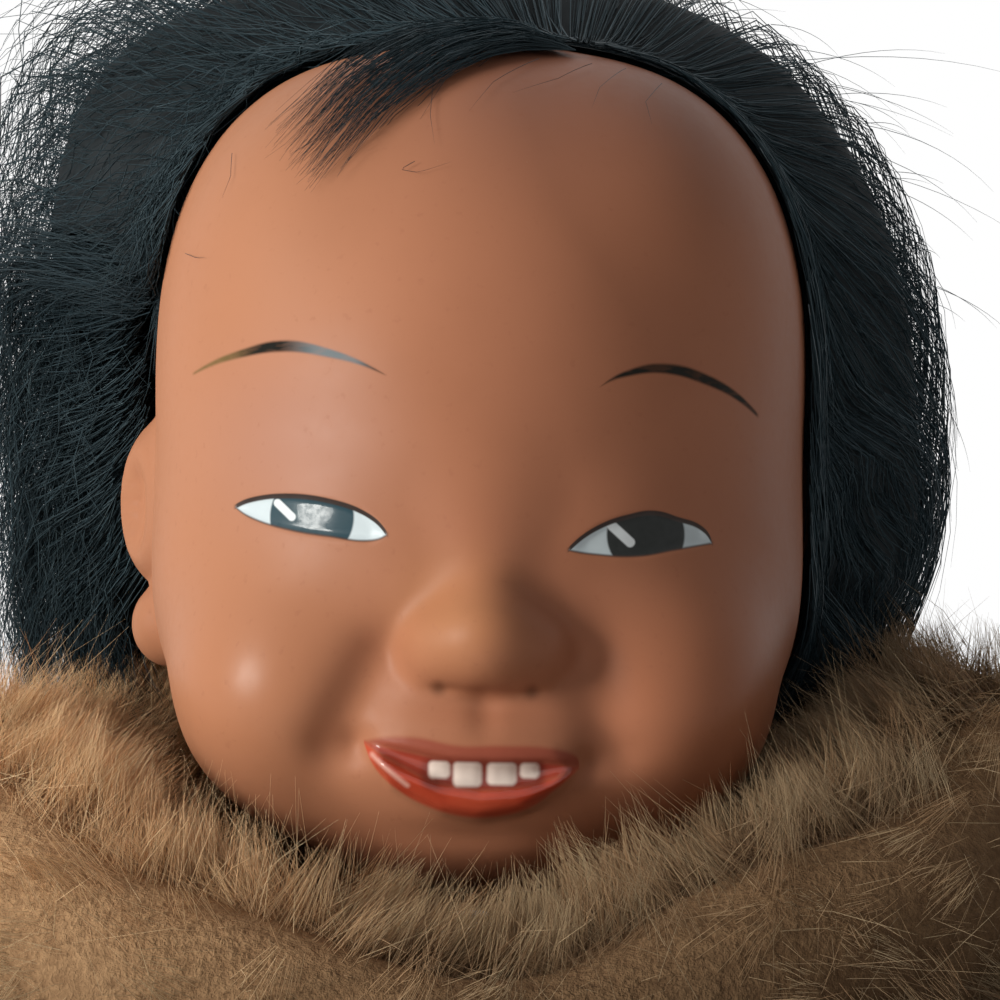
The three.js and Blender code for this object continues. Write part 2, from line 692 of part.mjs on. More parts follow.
add(doll, "hem_braid", hemBraidPiece(), BRAID);

// A ring with a rounded section, as the outline of a fur band.
function furRing(innerRadius, outerRadius, low, high, sides) {
  const section = new THREE.Path();
  const middle = (innerRadius + outerRadius) / 2;
  const halfWidth = (outerRadius - innerRadius) / 2;
  section.absellipse(middle, (low + high) / 2, halfWidth, (high - low) / 2, 0, 2 * Math.PI);
  const points = section.getPoints(4);
  points[points.length - 1] = points[0];
  return turned(points, sides);
}

function hemTrimPiece() {
  const outer = HEM_HALF_WIDTH + 3.5;
  const high = HEM_HEIGHT - SEAT_GAP;
  return flattened(furRing(outer - HEM_TRIM_THICKNESS, outer, high - HEM_TRIM_HEIGHT, high, BODY_SIDES));
}

add(doll, "hem_trim", hemTrimPiece(), FUR);

// Ruff and hood: the ring of fur dips in front, and the hood lies open on the back

// Height of the middle of the ruff, by the angle from the front.
function ruffHeight(angle) {
  const rise = (RUFF_BACK - RUFF_FRONT) / 2;
  const bow = RUFF_SIDES - (RUFF_BACK + RUFF_FRONT) / 2;
  return NECK_HEIGHT + RUFF_SIDES - rise * Math.cos(angle) - bow * Math.cos(angle) ** 2;
}

function ruffShape(grow) {
  const torus = new THREE.TorusGeometry(RUFF_RADIUS, 1, 8, 28);
  return moveVertices(torus, (p) => {
    const angle = Math.atan2(p.x, -p.y);
    const outwards = (Math.hypot(p.x, p.y) - RUFF_RADIUS) * (RUFF_HALF_THICKNESS + grow);
    const upwards = p.z * (RUFF_HALF_HEIGHT + grow);
    const ring = RUFF_RADIUS - RUFF_TUCK * Math.cos(angle) ** 2;
    const radius = ring + outwards * Math.cos(RUFF_LEAN) + upwards * Math.sin(RUFF_LEAN);
    const height = upwards * Math.cos(RUFF_LEAN) - outwards * Math.sin(RUFF_LEAN);
    p.set(radius * Math.sin(angle), -radius * Math.cos(angle), ruffHeight(angle) + height);
  });
}

add(doll, "ruff", ruffShape(0), FUR);

// The hood rises from the neckline to the ruff as a funnel, and its pouch hangs behind.
function hoodPiece() {
  const inner = NECK_RIM_RADIUS + 1.5 + 2 * SEAT_GAP + PARKA_WALL;
  const base = NECKLINE_HEIGHT - 6;
  const profile = [0, 0.35, 0.7, 1].map((share) => at(inner + (RUFF_RADIUS - inner) * share, base));
  const under = [...profile].reverse().map((p) => at(p.x, p.y - HOOD_WALL));
  const funnel = moveVertices(turned([...profile, ...under, profile[0]], 16), (p) => {
    const share = (Math.hypot(p.x, p.y) - inner) / (RUFF_RADIUS - inner);
    p.z += (ruffHeight(Math.atan2(p.x, -p.y)) - base) * share ** 3;
  });
  const back = RUFF_RADIUS - RUFF_TUCK - 4;
  const pouch = ellipsoid([0, back, SHOULDER_HEIGHT + 22], [37, 17, 40], 12, 7);
  const whole = solidOf(funnel).add(solidOf(pouch));
  return geometryOf(whole.subtract(solidOf(ruffShape(SEAT_GAP))).subtract(parkaForm(SEAT_GAP)));
}

add(doll, "hood", hoodPiece(), HIDE);

// Trousers: the seat belongs to the body and folds at the hips

const SEAT_BOTTOM = HIP_HEIGHT - SEAT_DROP;

function trouserSeatPiece() {
  const waist = WAIST_HALF_WIDTH + SEAT_GAP + TROUSER_WALL;
  const outline = [
    at(0, HIP_HEIGHT - 6),
    at(HIP_HALF_WIDTH + 4, HIP_HEIGHT - 6),
    at(HIP_HALF_WIDTH + 5.5, HIP_HEIGHT + 25),
    at(waist, WAIST_HEIGHT),
    at(0, WAIST_HEIGHT),
  ];
  let seat = solidOf(flattened(turned(outline, BODY_SIDES)));
  const tube = (radius, low, high) => turned([at(0, low), at(radius, low), at(radius, high), at(0, high)]);
  const room = TROUSER_RADIUS - TROUSER_WALL;
  for (const side of [-1, 1]) {
    const place = [side * HIP_REACH, 0, 0];
    seat = seat.add(solidOf(tube(TROUSER_RADIUS, SEAT_BOTTOM, HIP_HEIGHT + 18).translate(...place)));
  }
  for (const side of [-1, 1]) {
    const place = [side * HIP_REACH, 0, 0];
    seat = seat.subtract(solidOf(tube(room, SEAT_BOTTOM - 1, HIP_HEIGHT).translate(...place)));
    seat = seat.subtract(solidOf(ellipsoid([place[0], 0, HIP_HEIGHT], [room, room, room], LIMB_SIDES, 8)));
  }
  return geometryOf(seat.subtract(torsoForm(SEAT_GAP)));
}

add(doll, "trouser_seat", trouserSeatPiece(), CLOTH);

// One arm, hanging down from its shoulder at the origin

// The outline of the arm from the ball to the wrist, as [radius, height].
function armOutline(grow) {
  const ball = ARM_BALL_RADIUS + grow;
  const neckAngle = -Math.acos((UPPER_ARM_RADIUS - 0.5 + grow) / ball);
  const long = smooth(
    [
      at(UPPER_ARM_RADIUS + grow, -WRIST_REACH * 0.28),
      at(ELBOW_RADIUS + grow, -WRIST_REACH * 0.56),
      at(ELBOW_RADIUS + 0.3 + grow, -WRIST_REACH * 0.68),
      at(WRIST_RADIUS + grow, -WRIST_REACH),
      at(WRIST_RADIUS + grow, -WRIST_REACH - 8),
    ],
    6,
  );
  return [...arc(ball, 0, Math.PI / 2, neckAngle), ...long, at(0, -WRIST_REACH - 8)];
}

function armForm(grow) {
  const middle = -WRIST_REACH - HAND_LENGTH / 2 - 4;
  const palm = ellipsoid([0, 0, middle], [5.5 + grow, 9.5 + grow, HAND_LENGTH / 2 + 4 + grow], 8, 6);
  const thumb = ellipsoid([0, 0, 0], [3.6 + grow, 3.8 + grow, 10 + grow], 6, 5);
  thumb.rotateX(-0.5).translate(0, -9.5, middle + 5);
  return solidOf(turned(armOutline(grow))).add(solidOf(palm)).add(solidOf(thumb));
}

function armPiece() {
  const wayRadius = LOOP_RADIUS + ELASTIC_RADIUS + JOINT_GAP;
  const cordWay = rodAlongX(wayRadius, -FAR, LOOP_RADIUS + 2).rotateY(ARM_SPREAD);
  return geometryOf(armForm(0).subtract(solidOf(cordWay)).subtract(solidOf(armPin(PIN_RADIUS + SEAT_GAP))));
}

// The pin that the elastic loops round, across the ball.
function armPin(radius) {
  const length = 1.6 * ARM_BALL_RADIUS;
  return new THREE.CylinderGeometry(radius, radius, length, 8);
}

// Half the width of the sleeve at a reach along the arm.
function sleeveRadius(reach) {
  const share = (reach - ELBOW_REACH) / (SLEEVE_LENGTH - ELBOW_REACH);
  return SLEEVE_RADIUS - 2.5 - 1.5 * share;
}

// A dome over the shoulder and a sleeve that tapers to the wrist, cut flat where it meets the parka.
function sleevePiece() {
  const seat = ELBOW_RADIUS + 0.5;
  const end = -SLEEVE_LENGTH;
  const profile = [
    ...arc(SLEEVE_RADIUS, 0, Math.PI / 2, 0),
    at(sleeveRadius(ELBOW_REACH), -ELBOW_REACH),
    at(sleeveRadius(SLEEVE_LENGTH), end),
    at(WRIST_RADIUS + SEAT_GAP + 0.3, end),
    at(seat, end + 4),
    at(sleeveRadius(SLEEVE_LENGTH) - SLEEVE_WALL, end + 8),
    at(sleeveRadius(ELBOW_REACH) - SLEEVE_WALL, -ELBOW_REACH),
    ...arc(SLEEVE_RADIUS - SLEEVE_WALL, 0, 0, Math.PI / 2),
  ];
  const inner = ARMHOLE + JOINT_GAP - SHOULDER_REACH;
  const cut = box([-FAR, -FAR, -FAR], [inner, FAR, FAR]).rotateY(ARM_SPREAD);
  const hollow = solidOf(turned(profile, SEAT_SIDES)).subtract(solidOf(cut));
  return geometryOf(hollow.subtract(solidOf(turned(armOutline(SEAT_GAP)))));
}

function cuffBraidPiece() {
  const high = -SLEEVE_LENGTH + 14;
  const low = high - BRAID_WIDTH;
  const around = (height) => sleeveRadius(-height) + SEAT_GAP;
  const profile = [
    at(around(low), low),
    at(around(low) + BRAID_THICKNESS, low),
    at(around(high) + BRAID_THICKNESS, high),
    at(around(high), high),
    at(around(low), low),
  ];
  return turned(profile, SEAT_SIDES);
}

const CUFF_TOP = -SLEEVE_LENGTH - SEAT_GAP;
const CUFF_END = CUFF_TOP - CUFF_LENGTH;

function cuffPiece() {
  return furRing(WRIST_RADIUS + 2.5, CUFF_RADIUS, CUFF_END, CUFF_TOP, SEAT_SIDES);
}

function mittenPiece() {
  const top = CUFF_END - SEAT_GAP;
  const length = WRIST_REACH + HAND_LENGTH + 8 + top;
  const middle = top - length / 2 + 2;
  const body = ellipsoid([0, 0, middle], [10, 14.5, length / 2 + 9], 12, 7);
  const thumb = ellipsoid([0, 0, 0], [6.5, 7, 14], 8, 5).rotateX(-0.5).translate(0, -11.5, middle + 3);
  const whole = solidOf(body).add(solidOf(thumb)).subtract(solidOf(above(top)));
  return geometryOf(whole.subtract(armForm(SEAT_GAP)));
}

const armPieces = {
  arm: [armPiece(), BISQUE],
  arm_pin: [armPin(PIN_RADIUS), STEEL],
  sleeve: [sleevePiece(), HIDE],
  cuff_braid: [cuffBraidPiece(), BRAID],
  cuff: [cuffPiece(), FUR],
  mitten: [mittenPiece(), BOOT_HIDE],
};

// One leg, hanging down from its hip at the origin

const FOOT_HEIGHT = 9; // half the thickness of the foot
const FOOT_MIDDLE = SOLE_THICKNESS + SEAT_GAP + 3 + FOOT_HEIGHT - HIP_HEIGHT;
const KNEE_DROP = 0.42 * HIP_HEIGHT;

function legOutline(grow) {
  const ball = LEG_BALL_RADIUS + grow;
  const neckAngle = -Math.acos((LEG_BALL_RADIUS - 1.5 + grow) / ball);
  const long = smooth(
    [
      at(LEG_BALL_RADIUS - 1 + grow, -0.1 * HIP_HEIGHT),
      at(KNEE_RADIUS + grow, -KNEE_DROP),
      at(KNEE_RADIUS + 0.5 + grow, -0.54 * HIP_HEIGHT),
      at(ANKLE_RADIUS + grow, -0.8 * HIP_HEIGHT),
      at(ANKLE_RADIUS + grow, FOOT_MIDDLE),
    ],
    6,
  );
  return [...arc(ball, 0, Math.PI / 2, neckAngle), ...long, at(0, FOOT_MIDDLE)];
}

function legForm(grow) {
  const radii = [10.5 + grow, FOOT_LENGTH / 2 + grow, FOOT_HEIGHT + grow];
  const foot = ellipsoid([0, -FOOT_FORWARD, FOOT_MIDDLE], radii, 10, 6);
  return solidOf(turned(legOutline(grow))).add(solidOf(foot));
}

// The thigh has a slot in front and above, so that the cord stays upright as the leg swings.
function legPiece() {
  const slot = LOOP_RADIUS + ELASTIC_RADIUS + JOINT_GAP;
  const deep = LEG_BALL_RADIUS + 1;
  const upright = box([-slot - 2, -deep, -slot], [slot, slot + 3, deep]);
  const pinWay = rodAlongX(PIN_RADIUS + SEAT_GAP, -hipPinHalf() - SEAT_GAP, hipPinHalf() + SEAT_GAP, 8);
  return geometryOf(legForm(0).subtract(solidOf(upright)).subtract(solidOf(pinWay)));
}

function hipPinHalf() {
  return 0.75 * LEG_BALL_RADIUS;
}

const BOOT_TOP = BOOT_HEIGHT - HIP_HEIGHT;
const BOOT_CUFF_TOP = BOOT_TOP + SEAT_GAP + BOOT_CUFF_HEIGHT;

// The radius of the leg at a height, read from its outline.
function legRadius(height) {
  const outline = legOutline(0);
  const next = outline.findIndex((p) => p.y <= height);
  const [upper, lower] = [outline[next - 1], outline[next]];
  return THREE.MathUtils.mapLinear(height, upper.y, lower.y, upper.x, lower.x);
}

function trouserLegPiece() {
  const top = -SEAT_DROP - SEAT_GAP;
  const low = BOOT_CUFF_TOP + SEAT_GAP;
  const seat = Math.max(legRadius(low), legRadius(low + 5)) + SEAT_GAP;
  const hem = TROUSER_RADIUS - 3;
  const profile = [
    at(seat, low),
    at(hem, low),
    at(TROUSER_RADIUS, top),
    at(TROUSER_RADIUS - TROUSER_WALL, top),
    at(hem - TROUSER_WALL, low + 9),
    at(seat, low + 5),
    at(seat, low),
  ];
  return turned(profile, SEAT_SIDES);
}

const BOOT_FLOOR = SOLE_THICKNESS + SEAT_GAP - HIP_HEIGHT;

// The outside of the boot: a shaft on a rounded foot with a flat underside.
function bootForm(grow) {
  const ankle = ANKLE_RADIUS + BOOT_WALL + grow;
  const top = KNEE_RADIUS + BOOT_WALL + grow;
  const shaft = smooth([at(ankle + 1, BOOT_FLOOR + 10), at(ankle, BOOT_FLOOR + 38), at(top, BOOT_TOP)], 7);
  const ends = [at(0, BOOT_FLOOR + 10), ...shaft, at(0, BOOT_TOP)];
  const radii = [BOOT_HALF_WIDTH + grow, BOOT_LENGTH / 2 + grow, 22 + grow];
  const foot = ellipsoid([0, -FOOT_FORWARD, BOOT_FLOOR + 6], radii, 12, 7);
  return solidOf(turned(ends, SEAT_SIDES)).add(solidOf(foot)).subtract(solidOf(below(BOOT_FLOOR)));
}

function bootPiece() {
  return geometryOf(bootForm(0).subtract(legForm(SEAT_GAP)));
}

function bootCuffPiece() {
  return furRing(KNEE_RADIUS + 1.2, BOOT_CUFF_RADIUS, BOOT_TOP + SEAT_GAP, BOOT_CUFF_TOP, SEAT_SIDES);
}

function solePiece() {
  const outline = new THREE.Shape();
  outline.absellipse(0, -FOOT_FORWARD, BOOT_HALF_WIDTH, BOOT_LENGTH / 2, 0, 2 * Math.PI);
  const options = { depth: SOLE_THICKNESS, bevelEnabled: false, curveSegments: 14 };
  const sole = new THREE.ExtrudeGeometry(outline, options);
  return sole.translate(0, 0, -HIP_HEIGHT);
}

// A thong tied round the ankle.
function bootTiePiece() {
  const height = BOOT_FLOOR + 38;
  const around = ANKLE_RADIUS + BOOT_WALL + SEAT_GAP + TIE_RADIUS;
  return new THREE.TorusGeometry(around, TIE_RADIUS, WIRE_SIDES, SEAT_SIDES).translate(0, 0, height);
}

const legPieces = {
  leg: [legPiece(), BISQUE],
  hip_pin: [rodAlongX(PIN_RADIUS, -hipPinHalf(), hipPinHalf(), 8), STEEL],
  trouser_leg: [trouserLegPiece(), CLOTH],
  boot: [bootPiece(), BOOT_HIDE],
  boot_cuff: [bootCuffPiece(), FUR],
  boot_tie: [bootTiePiece(), BRAID],
  sole: [solePiece(), SOLE_HIDE],
};

// The limbs of one side. The right side is the left one mirrored.
function limbs(name, mirror) {
  const side = new THREE.Group();
  side.scale.x = mirror;
  const arm = new THREE.Group();
  arm.position.set(SHOULDER_REACH, 0, SHOULDER_HEIGHT);
  arm.rotation.y = -ARM_SPREAD;
  const leg = new THREE.Group();
  leg.position.set(HIP_REACH, 0, HIP_HEIGHT);
  for (const [piece, [geometry, finish]] of Object.entries(armPieces)) {
    add(arm, `${name}_${piece}`, geometry, finish);
  }
  for (const [piece, [geometry, finish]] of Object.entries(legPieces)) {
    add(leg, `${name}_${piece}`, geometry, finish);
  }
  side.add(arm, leg);
  return side;
}

doll.add(limbs("left", 1), limbs("right", -1));

export default doll;
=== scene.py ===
import math

import bmesh
import bpy
import numpy as np
from mathutils import Matrix, Vector, noise


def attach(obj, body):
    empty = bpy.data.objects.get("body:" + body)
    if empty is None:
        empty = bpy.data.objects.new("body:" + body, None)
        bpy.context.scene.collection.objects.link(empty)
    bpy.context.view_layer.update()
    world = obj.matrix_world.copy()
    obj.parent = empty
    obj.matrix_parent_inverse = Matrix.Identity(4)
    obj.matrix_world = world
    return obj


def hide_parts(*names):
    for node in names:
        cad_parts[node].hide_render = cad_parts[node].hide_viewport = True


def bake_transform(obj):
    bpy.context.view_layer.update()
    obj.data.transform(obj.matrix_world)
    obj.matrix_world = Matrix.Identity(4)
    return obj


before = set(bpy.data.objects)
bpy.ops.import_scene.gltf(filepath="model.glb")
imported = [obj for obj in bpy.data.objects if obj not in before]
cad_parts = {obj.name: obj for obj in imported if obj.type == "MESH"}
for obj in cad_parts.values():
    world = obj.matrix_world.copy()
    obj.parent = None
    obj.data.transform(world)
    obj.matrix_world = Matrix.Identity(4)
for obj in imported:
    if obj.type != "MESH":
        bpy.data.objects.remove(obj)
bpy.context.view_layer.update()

# Sizes in millimetres. The head's own frame has its origin between the eyes, on the neck axis.
MM = 0.001
EYES = 441.0
HEAD_HALF_WIDTH = 38.2
CROWN = 56.5
FACE_FRONT = 40.0
CHIN = 39.5
rng = np.random.default_rng(7)

# Camera: level with the eyes, close to the face
CAMERA_AWAY = 295.0
CAMERA_ASIDE = 2.48
CAMERA_ABOVE = 2.56
CAMERA_ROLL = 1.0
FOCAL_SHARE = 2.518

camera_data = bpy.data.cameras.new("camera")
camera_data.sensor_width = 36.0
camera_data.lens = FOCAL_SHARE * camera_data.sensor_width
camera_data.clip_start = 0.01
camera = bpy.data.objects.new("camera", camera_data)
bpy.context.collection.objects.link(camera)
turn = Matrix.Rotation(math.pi / 2, 4, "X") @ Matrix.Rotation(math.radians(CAMERA_ROLL), 4, "Z")
place = Vector((CAMERA_ASIDE, -CAMERA_AWAY, EYES + CAMERA_ABOVE)) * MM
camera.matrix_world = Matrix.Translation(place) @ turn
bpy.context.scene.camera = camera


# Shader nodes

class Nodes:
    """Short ways to place nodes in a tree. A value that is a socket is linked, any other is set."""

    def __init__(self, tree):
        self.tree = tree

    def add(self, kind, inputs=None, **settings):
        node = self.tree.nodes.new(kind)
        for name, value in settings.items():
            setattr(node, name, value)
        for name, value in (inputs or {}).items():
            self.put(node.inputs[name], value)
        return node

    def put(self, socket, value):
        if isinstance(value, bpy.types.NodeSocket):
            self.tree.links.new(value, socket)
        else:
            socket.default_value = value

    def math(self, operation, a, b=0.0, clamp=False):
        node = self.add("ShaderNodeMath", {0: a, 1: b}, operation=operation, use_clamp=clamp)
        return node.outputs[0]

    def vector(self, operation, a, b):
        node = self.add("ShaderNodeVectorMath", {0: a, 1: b}, operation=operation)
        return node.outputs["Vector"]

    def mix(self, share, a, b):
        node = self.add("ShaderNodeMix", data_type="RGBA")
        for name, value in (("Factor_Float", share), ("A_Color", a), ("B_Color", b)):
            self.put(next(s for s in node.inputs if s.identifier == name), value)
        return next(s for s in node.outputs if s.identifier == "Result_Color")

    def mix_value(self, share, a, b):
        node = self.add("ShaderNodeMix", {0: share, 2: a, 3: b}, data_type="FLOAT")
        return node.outputs[0]

    def ramp(self, value, low, high, to_low=0.0, to_high=1.0, smooth=True):
        kind = "SMOOTHSTEP" if smooth else "LINEAR"
        inputs = {"Value": value, "From Min": low, "From Max": high, "To Min": to_low, "To Max": to_high}
        return self.add("ShaderNodeMapRange", inputs, interpolation_type=kind).outputs["Result"]

    def noise(self, scale, detail, where, roughness=0.5):
        inputs = {"Scale": scale, "Detail": detail, "Vector": where, "Roughness": roughness}
        return self.add("ShaderNodeTexNoise", inputs).outputs["Fac"]

    def place(self):
        return self.add("ShaderNodeTexCoord").outputs["Object"]

    def attribute(self, name):
        return self.add("ShaderNodeAttribute", attribute_name=name).outputs["Fac"]

    def distance(self, dx, dz):
        square = self.math("ADD", self.math("MULTIPLY", dx, dx), self.math("MULTIPLY", dz, dz))
        return self.math("SQRT", square)

    def relief(self, shader, height, strength, distance):
        """Shows a height as bumps on the surface of a shader."""
        node = self.add("ShaderNodeBump", {"Strength": strength, "Distance": distance, "Height": height})
        self.put(shader.inputs["Normal"], node.outputs["Normal"])

    def effect(self, group, **values):
        """A shared effect placed with its own values; gives the group's outputs by name."""
        return self.add("ShaderNodeGroup", node_tree=group, inputs=values).outputs

    def curve(self, x, points):
        """The height at x of a smooth line through points, the points in millimetres."""
        xs = [p[0] for p in points]
        zs = [p[1] for p in points]
        low, high = min(zs) - 1.0, max(zs) + 1.0
        along = self.ramp(x, xs[0], xs[-1], smooth=False)
        node = self.add("ShaderNodeFloatCurve", {"Value": along})
        line = node.mapping.curves[0]
        for px, pz in points[1:-1]:
            line.points.new((px - xs[0]) / (xs[-1] - xs[0]), (pz - low) / (high - low))
        line.points[0].location = (0.0, (zs[0] - low) / (high - low))
        line.points[-1].location = (1.0, (zs[-1] - low) / (high - low))
        node.mapping.update()
        return self.ramp(node.outputs["Value"], 0.0, 1.0, low, high, smooth=False)


def new_material(name, **sockets):
    """A material with a Principled BSDF, its sockets set by name with _ for a space."""
    material = bpy.data.materials.new(name)
    material.use_nodes = True
    shader = material.node_tree.nodes["Principled BSDF"]
    for key, value in sockets.items():
        shader.inputs[key.replace("_", " ")].default_value = value
    return material, shader, Nodes(material.node_tree)


# Effects that several finishes share

def new_effect(name, inputs, outputs):
    """An empty shader node group with named sockets: F a value, V a vector, C a colour."""
    kinds = {"F": "NodeSocketFloat", "V": "NodeSocketVector", "C": "NodeSocketColor"}
    tree = bpy.data.node_groups.new(name, "ShaderNodeTree")
    for way, sockets in (("INPUT", inputs), ("OUTPUT", outputs)):
        for label, kind in sockets.items():
            tree.interface.new_socket(label, in_out=way, socket_type=kinds[kind])
    n = Nodes(tree)
    return tree, n, n.add("NodeGroupInput").outputs, n.add("NodeGroupOutput").inputs


def mottling_effect():
    """Two colours in soft clouds."""
    tree, n, given, out = new_effect("mottling", {
        "Place": "V", "Scale": "F", "Detail": "F", "Roughness": "F", "Low": "F", "High": "F",
        "Dark": "C", "Light": "C",
    }, {"Colour": "C", "Cloud": "F"})
    cloud = n.noise(given["Scale"], given["Detail"], given["Place"], given["Roughness"])
    n.put(out["Colour"], n.mix(n.ramp(cloud, given["Low"], given["High"]), given["Dark"], given["Light"]))
    n.put(out["Cloud"], cloud)
    return tree


def nap_effect():
    """The short brushed nap of hide: darker between its hairs, and their height."""
    tree, n, given, out = new_effect("nap", {"Place": "V", "Scale": "F", "Colour": "C", "Dark": "C"},
                                     {"Colour": "C", "Height": "F"})
    nap = n.noise(given["Scale"], 3.0, given["Place"])
    n.put(out["Colour"], n.mix(n.ramp(nap, 0.3, 0.7, 0.0, 0.3), given["Colour"], given["Dark"]))
    n.put(out["Height"], nap)
    return tree


def weave_effect():
    """Threads that cross: high where one lies over the other."""
    tree, n, given, out = new_effect("weave", {"Along": "F", "Across": "F"}, {"Height": "F"})
    threads = n.math("MULTIPLY", n.math("SINE", given["Along"]), n.math("SINE", given["Across"]))
    n.put(out["Height"], n.ramp(threads, -1.0, 1.0))
    return tree


def fur_tint_and_shade_effect():
    """Brown hairs with paler tips; painted shade darkens them on the doll's left, away from the key lamp, and low
    down, down to a share.
    """
    tree, n, given, out = new_effect("fur_tint_and_shade", {"Place": "V", "Tone": "F", "Tip": "F", "Darkest": "F"},
                                     {"Colour": "C"})
    under = n.mix(given["Tone"], (0.34, 0.19, 0.095, 1), (0.52, 0.31, 0.16, 1))
    over = n.mix(given["Tone"], (0.82, 0.49, 0.255, 1), (1.0, 0.76, 0.46, 1))
    fur = n.mix(n.ramp(given["Tip"], 0.1, 0.8), under, over)
    # Painted shade: darker towards the doll's left, away from the key lamp, and low down on the ring
    at = n.add("ShaderNodeSeparateXYZ", {"Vector": given["Place"]})
    aside = n.ramp(at.outputs["X"], -0.035, 0.035, 1.0, given["Darkest"])
    below = n.ramp(at.outputs["Z"], 0.392, 0.412, n.math("POWER", given["Darkest"], 0.7), 1.0)
    n.put(out["Colour"], n.mix(n.math("MULTIPLY", aside, below), (0.0, 0.0, 0.0, 1), fur))
    return tree


MOTTLING = mottling_effect()
NAP = nap_effect()
WEAVE = weave_effect()
FUR_TINT_AND_SHADE = fur_tint_and_shade_effect()

# Pieces

def placed(name, shape, material):
    """Puts a mesh, or a bmesh in millimetres, into the scene with its material."""
    mesh = mesh_of(shape, name) if isinstance(shape, bmesh.types.BMesh) else shape
    obj = bpy.data.objects.new(name, mesh)
    bpy.context.collection.objects.link(obj)
    mesh.materials.append(material)
    mesh.polygons.foreach_set("use_smooth", np.ones(len(mesh.polygons), bool))
    return obj


def piece(name, shape, material, body, slot, *nodes):
    """A finished piece, riding on a body and standing for CAD nodes."""
    obj = placed(name, shape, material)
    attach(obj, body)
    if nodes:
        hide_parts(*nodes)


def mesh_of(bm, name):
    """A mesh in metres from a bmesh in millimetres."""
    bmesh.ops.scale(bm, vec=(MM, MM, MM), verts=bm.verts)
    mesh = bpy.data.meshes.new(name)
    bm.to_mesh(mesh)
    bm.free()
    return mesh


# Face: the sculpted surface of the head as a distance field, then the lids, lips and folds on top

NOSE_ASIDE = 1.3
CHIN_ASIDE = 1.6


def ellipsoid(p, centre, radii):
    near = (p - centre) / radii
    length = np.linalg.norm(near, axis=1)
    steep = np.linalg.norm(near / radii, axis=1)
    return length * (length - 1) / np.maximum(steep, 1e-6)


def capsule(p, start, end, start_radius, end_radius):
    start, end = np.array(start, float), np.array(end, float)
    along = end - start
    share = np.clip((p - start) @ along / (along @ along), 0, 1)
    return np.linalg.norm(p - start - share[:, None] * along, axis=1) - (
        start_radius + (end_radius - start_radius) * share)


def fuse(a, b, fillet):
    share = np.maximum(fillet - np.abs(a - b), 0) / fillet
    return np.minimum(a, b) - share * share * fillet / 4


def head_field(p):
    """Distance from the head's surface, below zero inside. Points are in the head's frame."""
    both = np.column_stack([np.abs(p[:, 0]), p[:, 1], p[:, 2]])
    aside = p - np.array([CHIN_ASIDE, 0, 0])
    nose = p - np.array([NOSE_ASIDE, 0, 0])
    wings = np.column_stack([np.abs(nose[:, 0]), nose[:, 1], nose[:, 2]])
    front = -FACE_FRONT
    field = ellipsoid(p, (0, 5, 12), (HEAD_HALF_WIDTH, 45, CROWN - 12))
    field = fuse(field, ellipsoid(both, (15, 2, 27), (21, 31, 25.5)), 6)
    field = fuse(field, ellipsoid(p, (0, front + 35, -9), (HEAD_HALF_WIDTH - 1.7, 35.5, 29)), 8)
    field = fuse(field, ellipsoid(aside, (0, front + 21, 12.8 - CHIN), (21.5, 18.5, 12.8)), 10)
    field = fuse(field, ellipsoid(both, (18.0, front + 17.0, -18.0), (13.8, 16.8, 14.0)), 7)
    field = fuse(field, ellipsoid(aside, (0, front + 11.5, -22.5), (14.5, 13, 9.5)), 7)
    bridge = capsule(nose, (0, front + 8.2, 7), (0, front + 2.4, -6), 4.0, 4.4)
    ridge = np.minimum(bridge, capsule(nose, (0, front + 2.4, -6), (0, front - 2.0, -11.4), 4.4, 5.0))
    wing = ellipsoid(wings, (5.3, front + 1.8, -12.6), (3.8, 4.8, 4.0))
    field = fuse(field, fuse(ridge, wing, 5), 1.6 + 5 * step(p[:, 2], -9, 5))
    ear = ellipsoid(both, (HEAD_HALF_WIDTH - 1.2, 7, 1.6), (6.0, 7.5, 10.4))
    ear = fuse(ear, ellipsoid(both, (HEAD_HALF_WIDTH - 2.0, 4.5, -12.8), (4.8, 4.8, 5.2)), 1.5)
    field = fuse(field, ear, 2)
    scoop = ellipsoid(both, (HEAD_HALF_WIDTH + 3.4, 2.0, 1.0), (2.4, 4.0, 6.0))
    return -fuse(-field, scoop, 1.5)


def reach(field, directions, low=10.0, high=95.0):
    """How far the surface of a field lies from the origin, along each direction."""
    inside = np.full(len(directions), low)
    outside = np.full(len(directions), high)
    for _ in range(26):
        middle = (inside + outside) / 2
        inner = field(directions * middle[:, None]) < 0
        inside = np.where(inner, middle, inside)
        outside = np.where(inner, outside, middle)
    return inside


def reach_map(field, rows=240, columns=480):
    rise = np.linspace(0, np.pi, rows + 1)
    round_ = np.linspace(-np.pi, np.pi, columns + 1)
    r, c = np.meshgrid(rise, round_, indexing="ij")
    grid = np.stack([np.sin(r) * np.cos(c), np.sin(r) * np.sin(c), np.cos(r)], -1).reshape(-1, 3)
    table = reach(field, grid).reshape(rows + 1, columns + 1)

    def look_up(d):
        u = np.arccos(np.clip(d[:, 2], -1, 1)) / np.pi * rows
        v = (np.arctan2(d[:, 1], d[:, 0]) + np.pi) / (2 * np.pi) * columns
        i, j = np.minimum(u.astype(int), rows - 1), np.minimum(v.astype(int), columns - 1)
        a, b = u - i, v - j
        top = table[i, j] * (1 - b) + table[i, j + 1] * b
        return top * (1 - a) + (table[i + 1, j] * (1 - b) + table[i + 1, j + 1] * b) * a

    return look_up


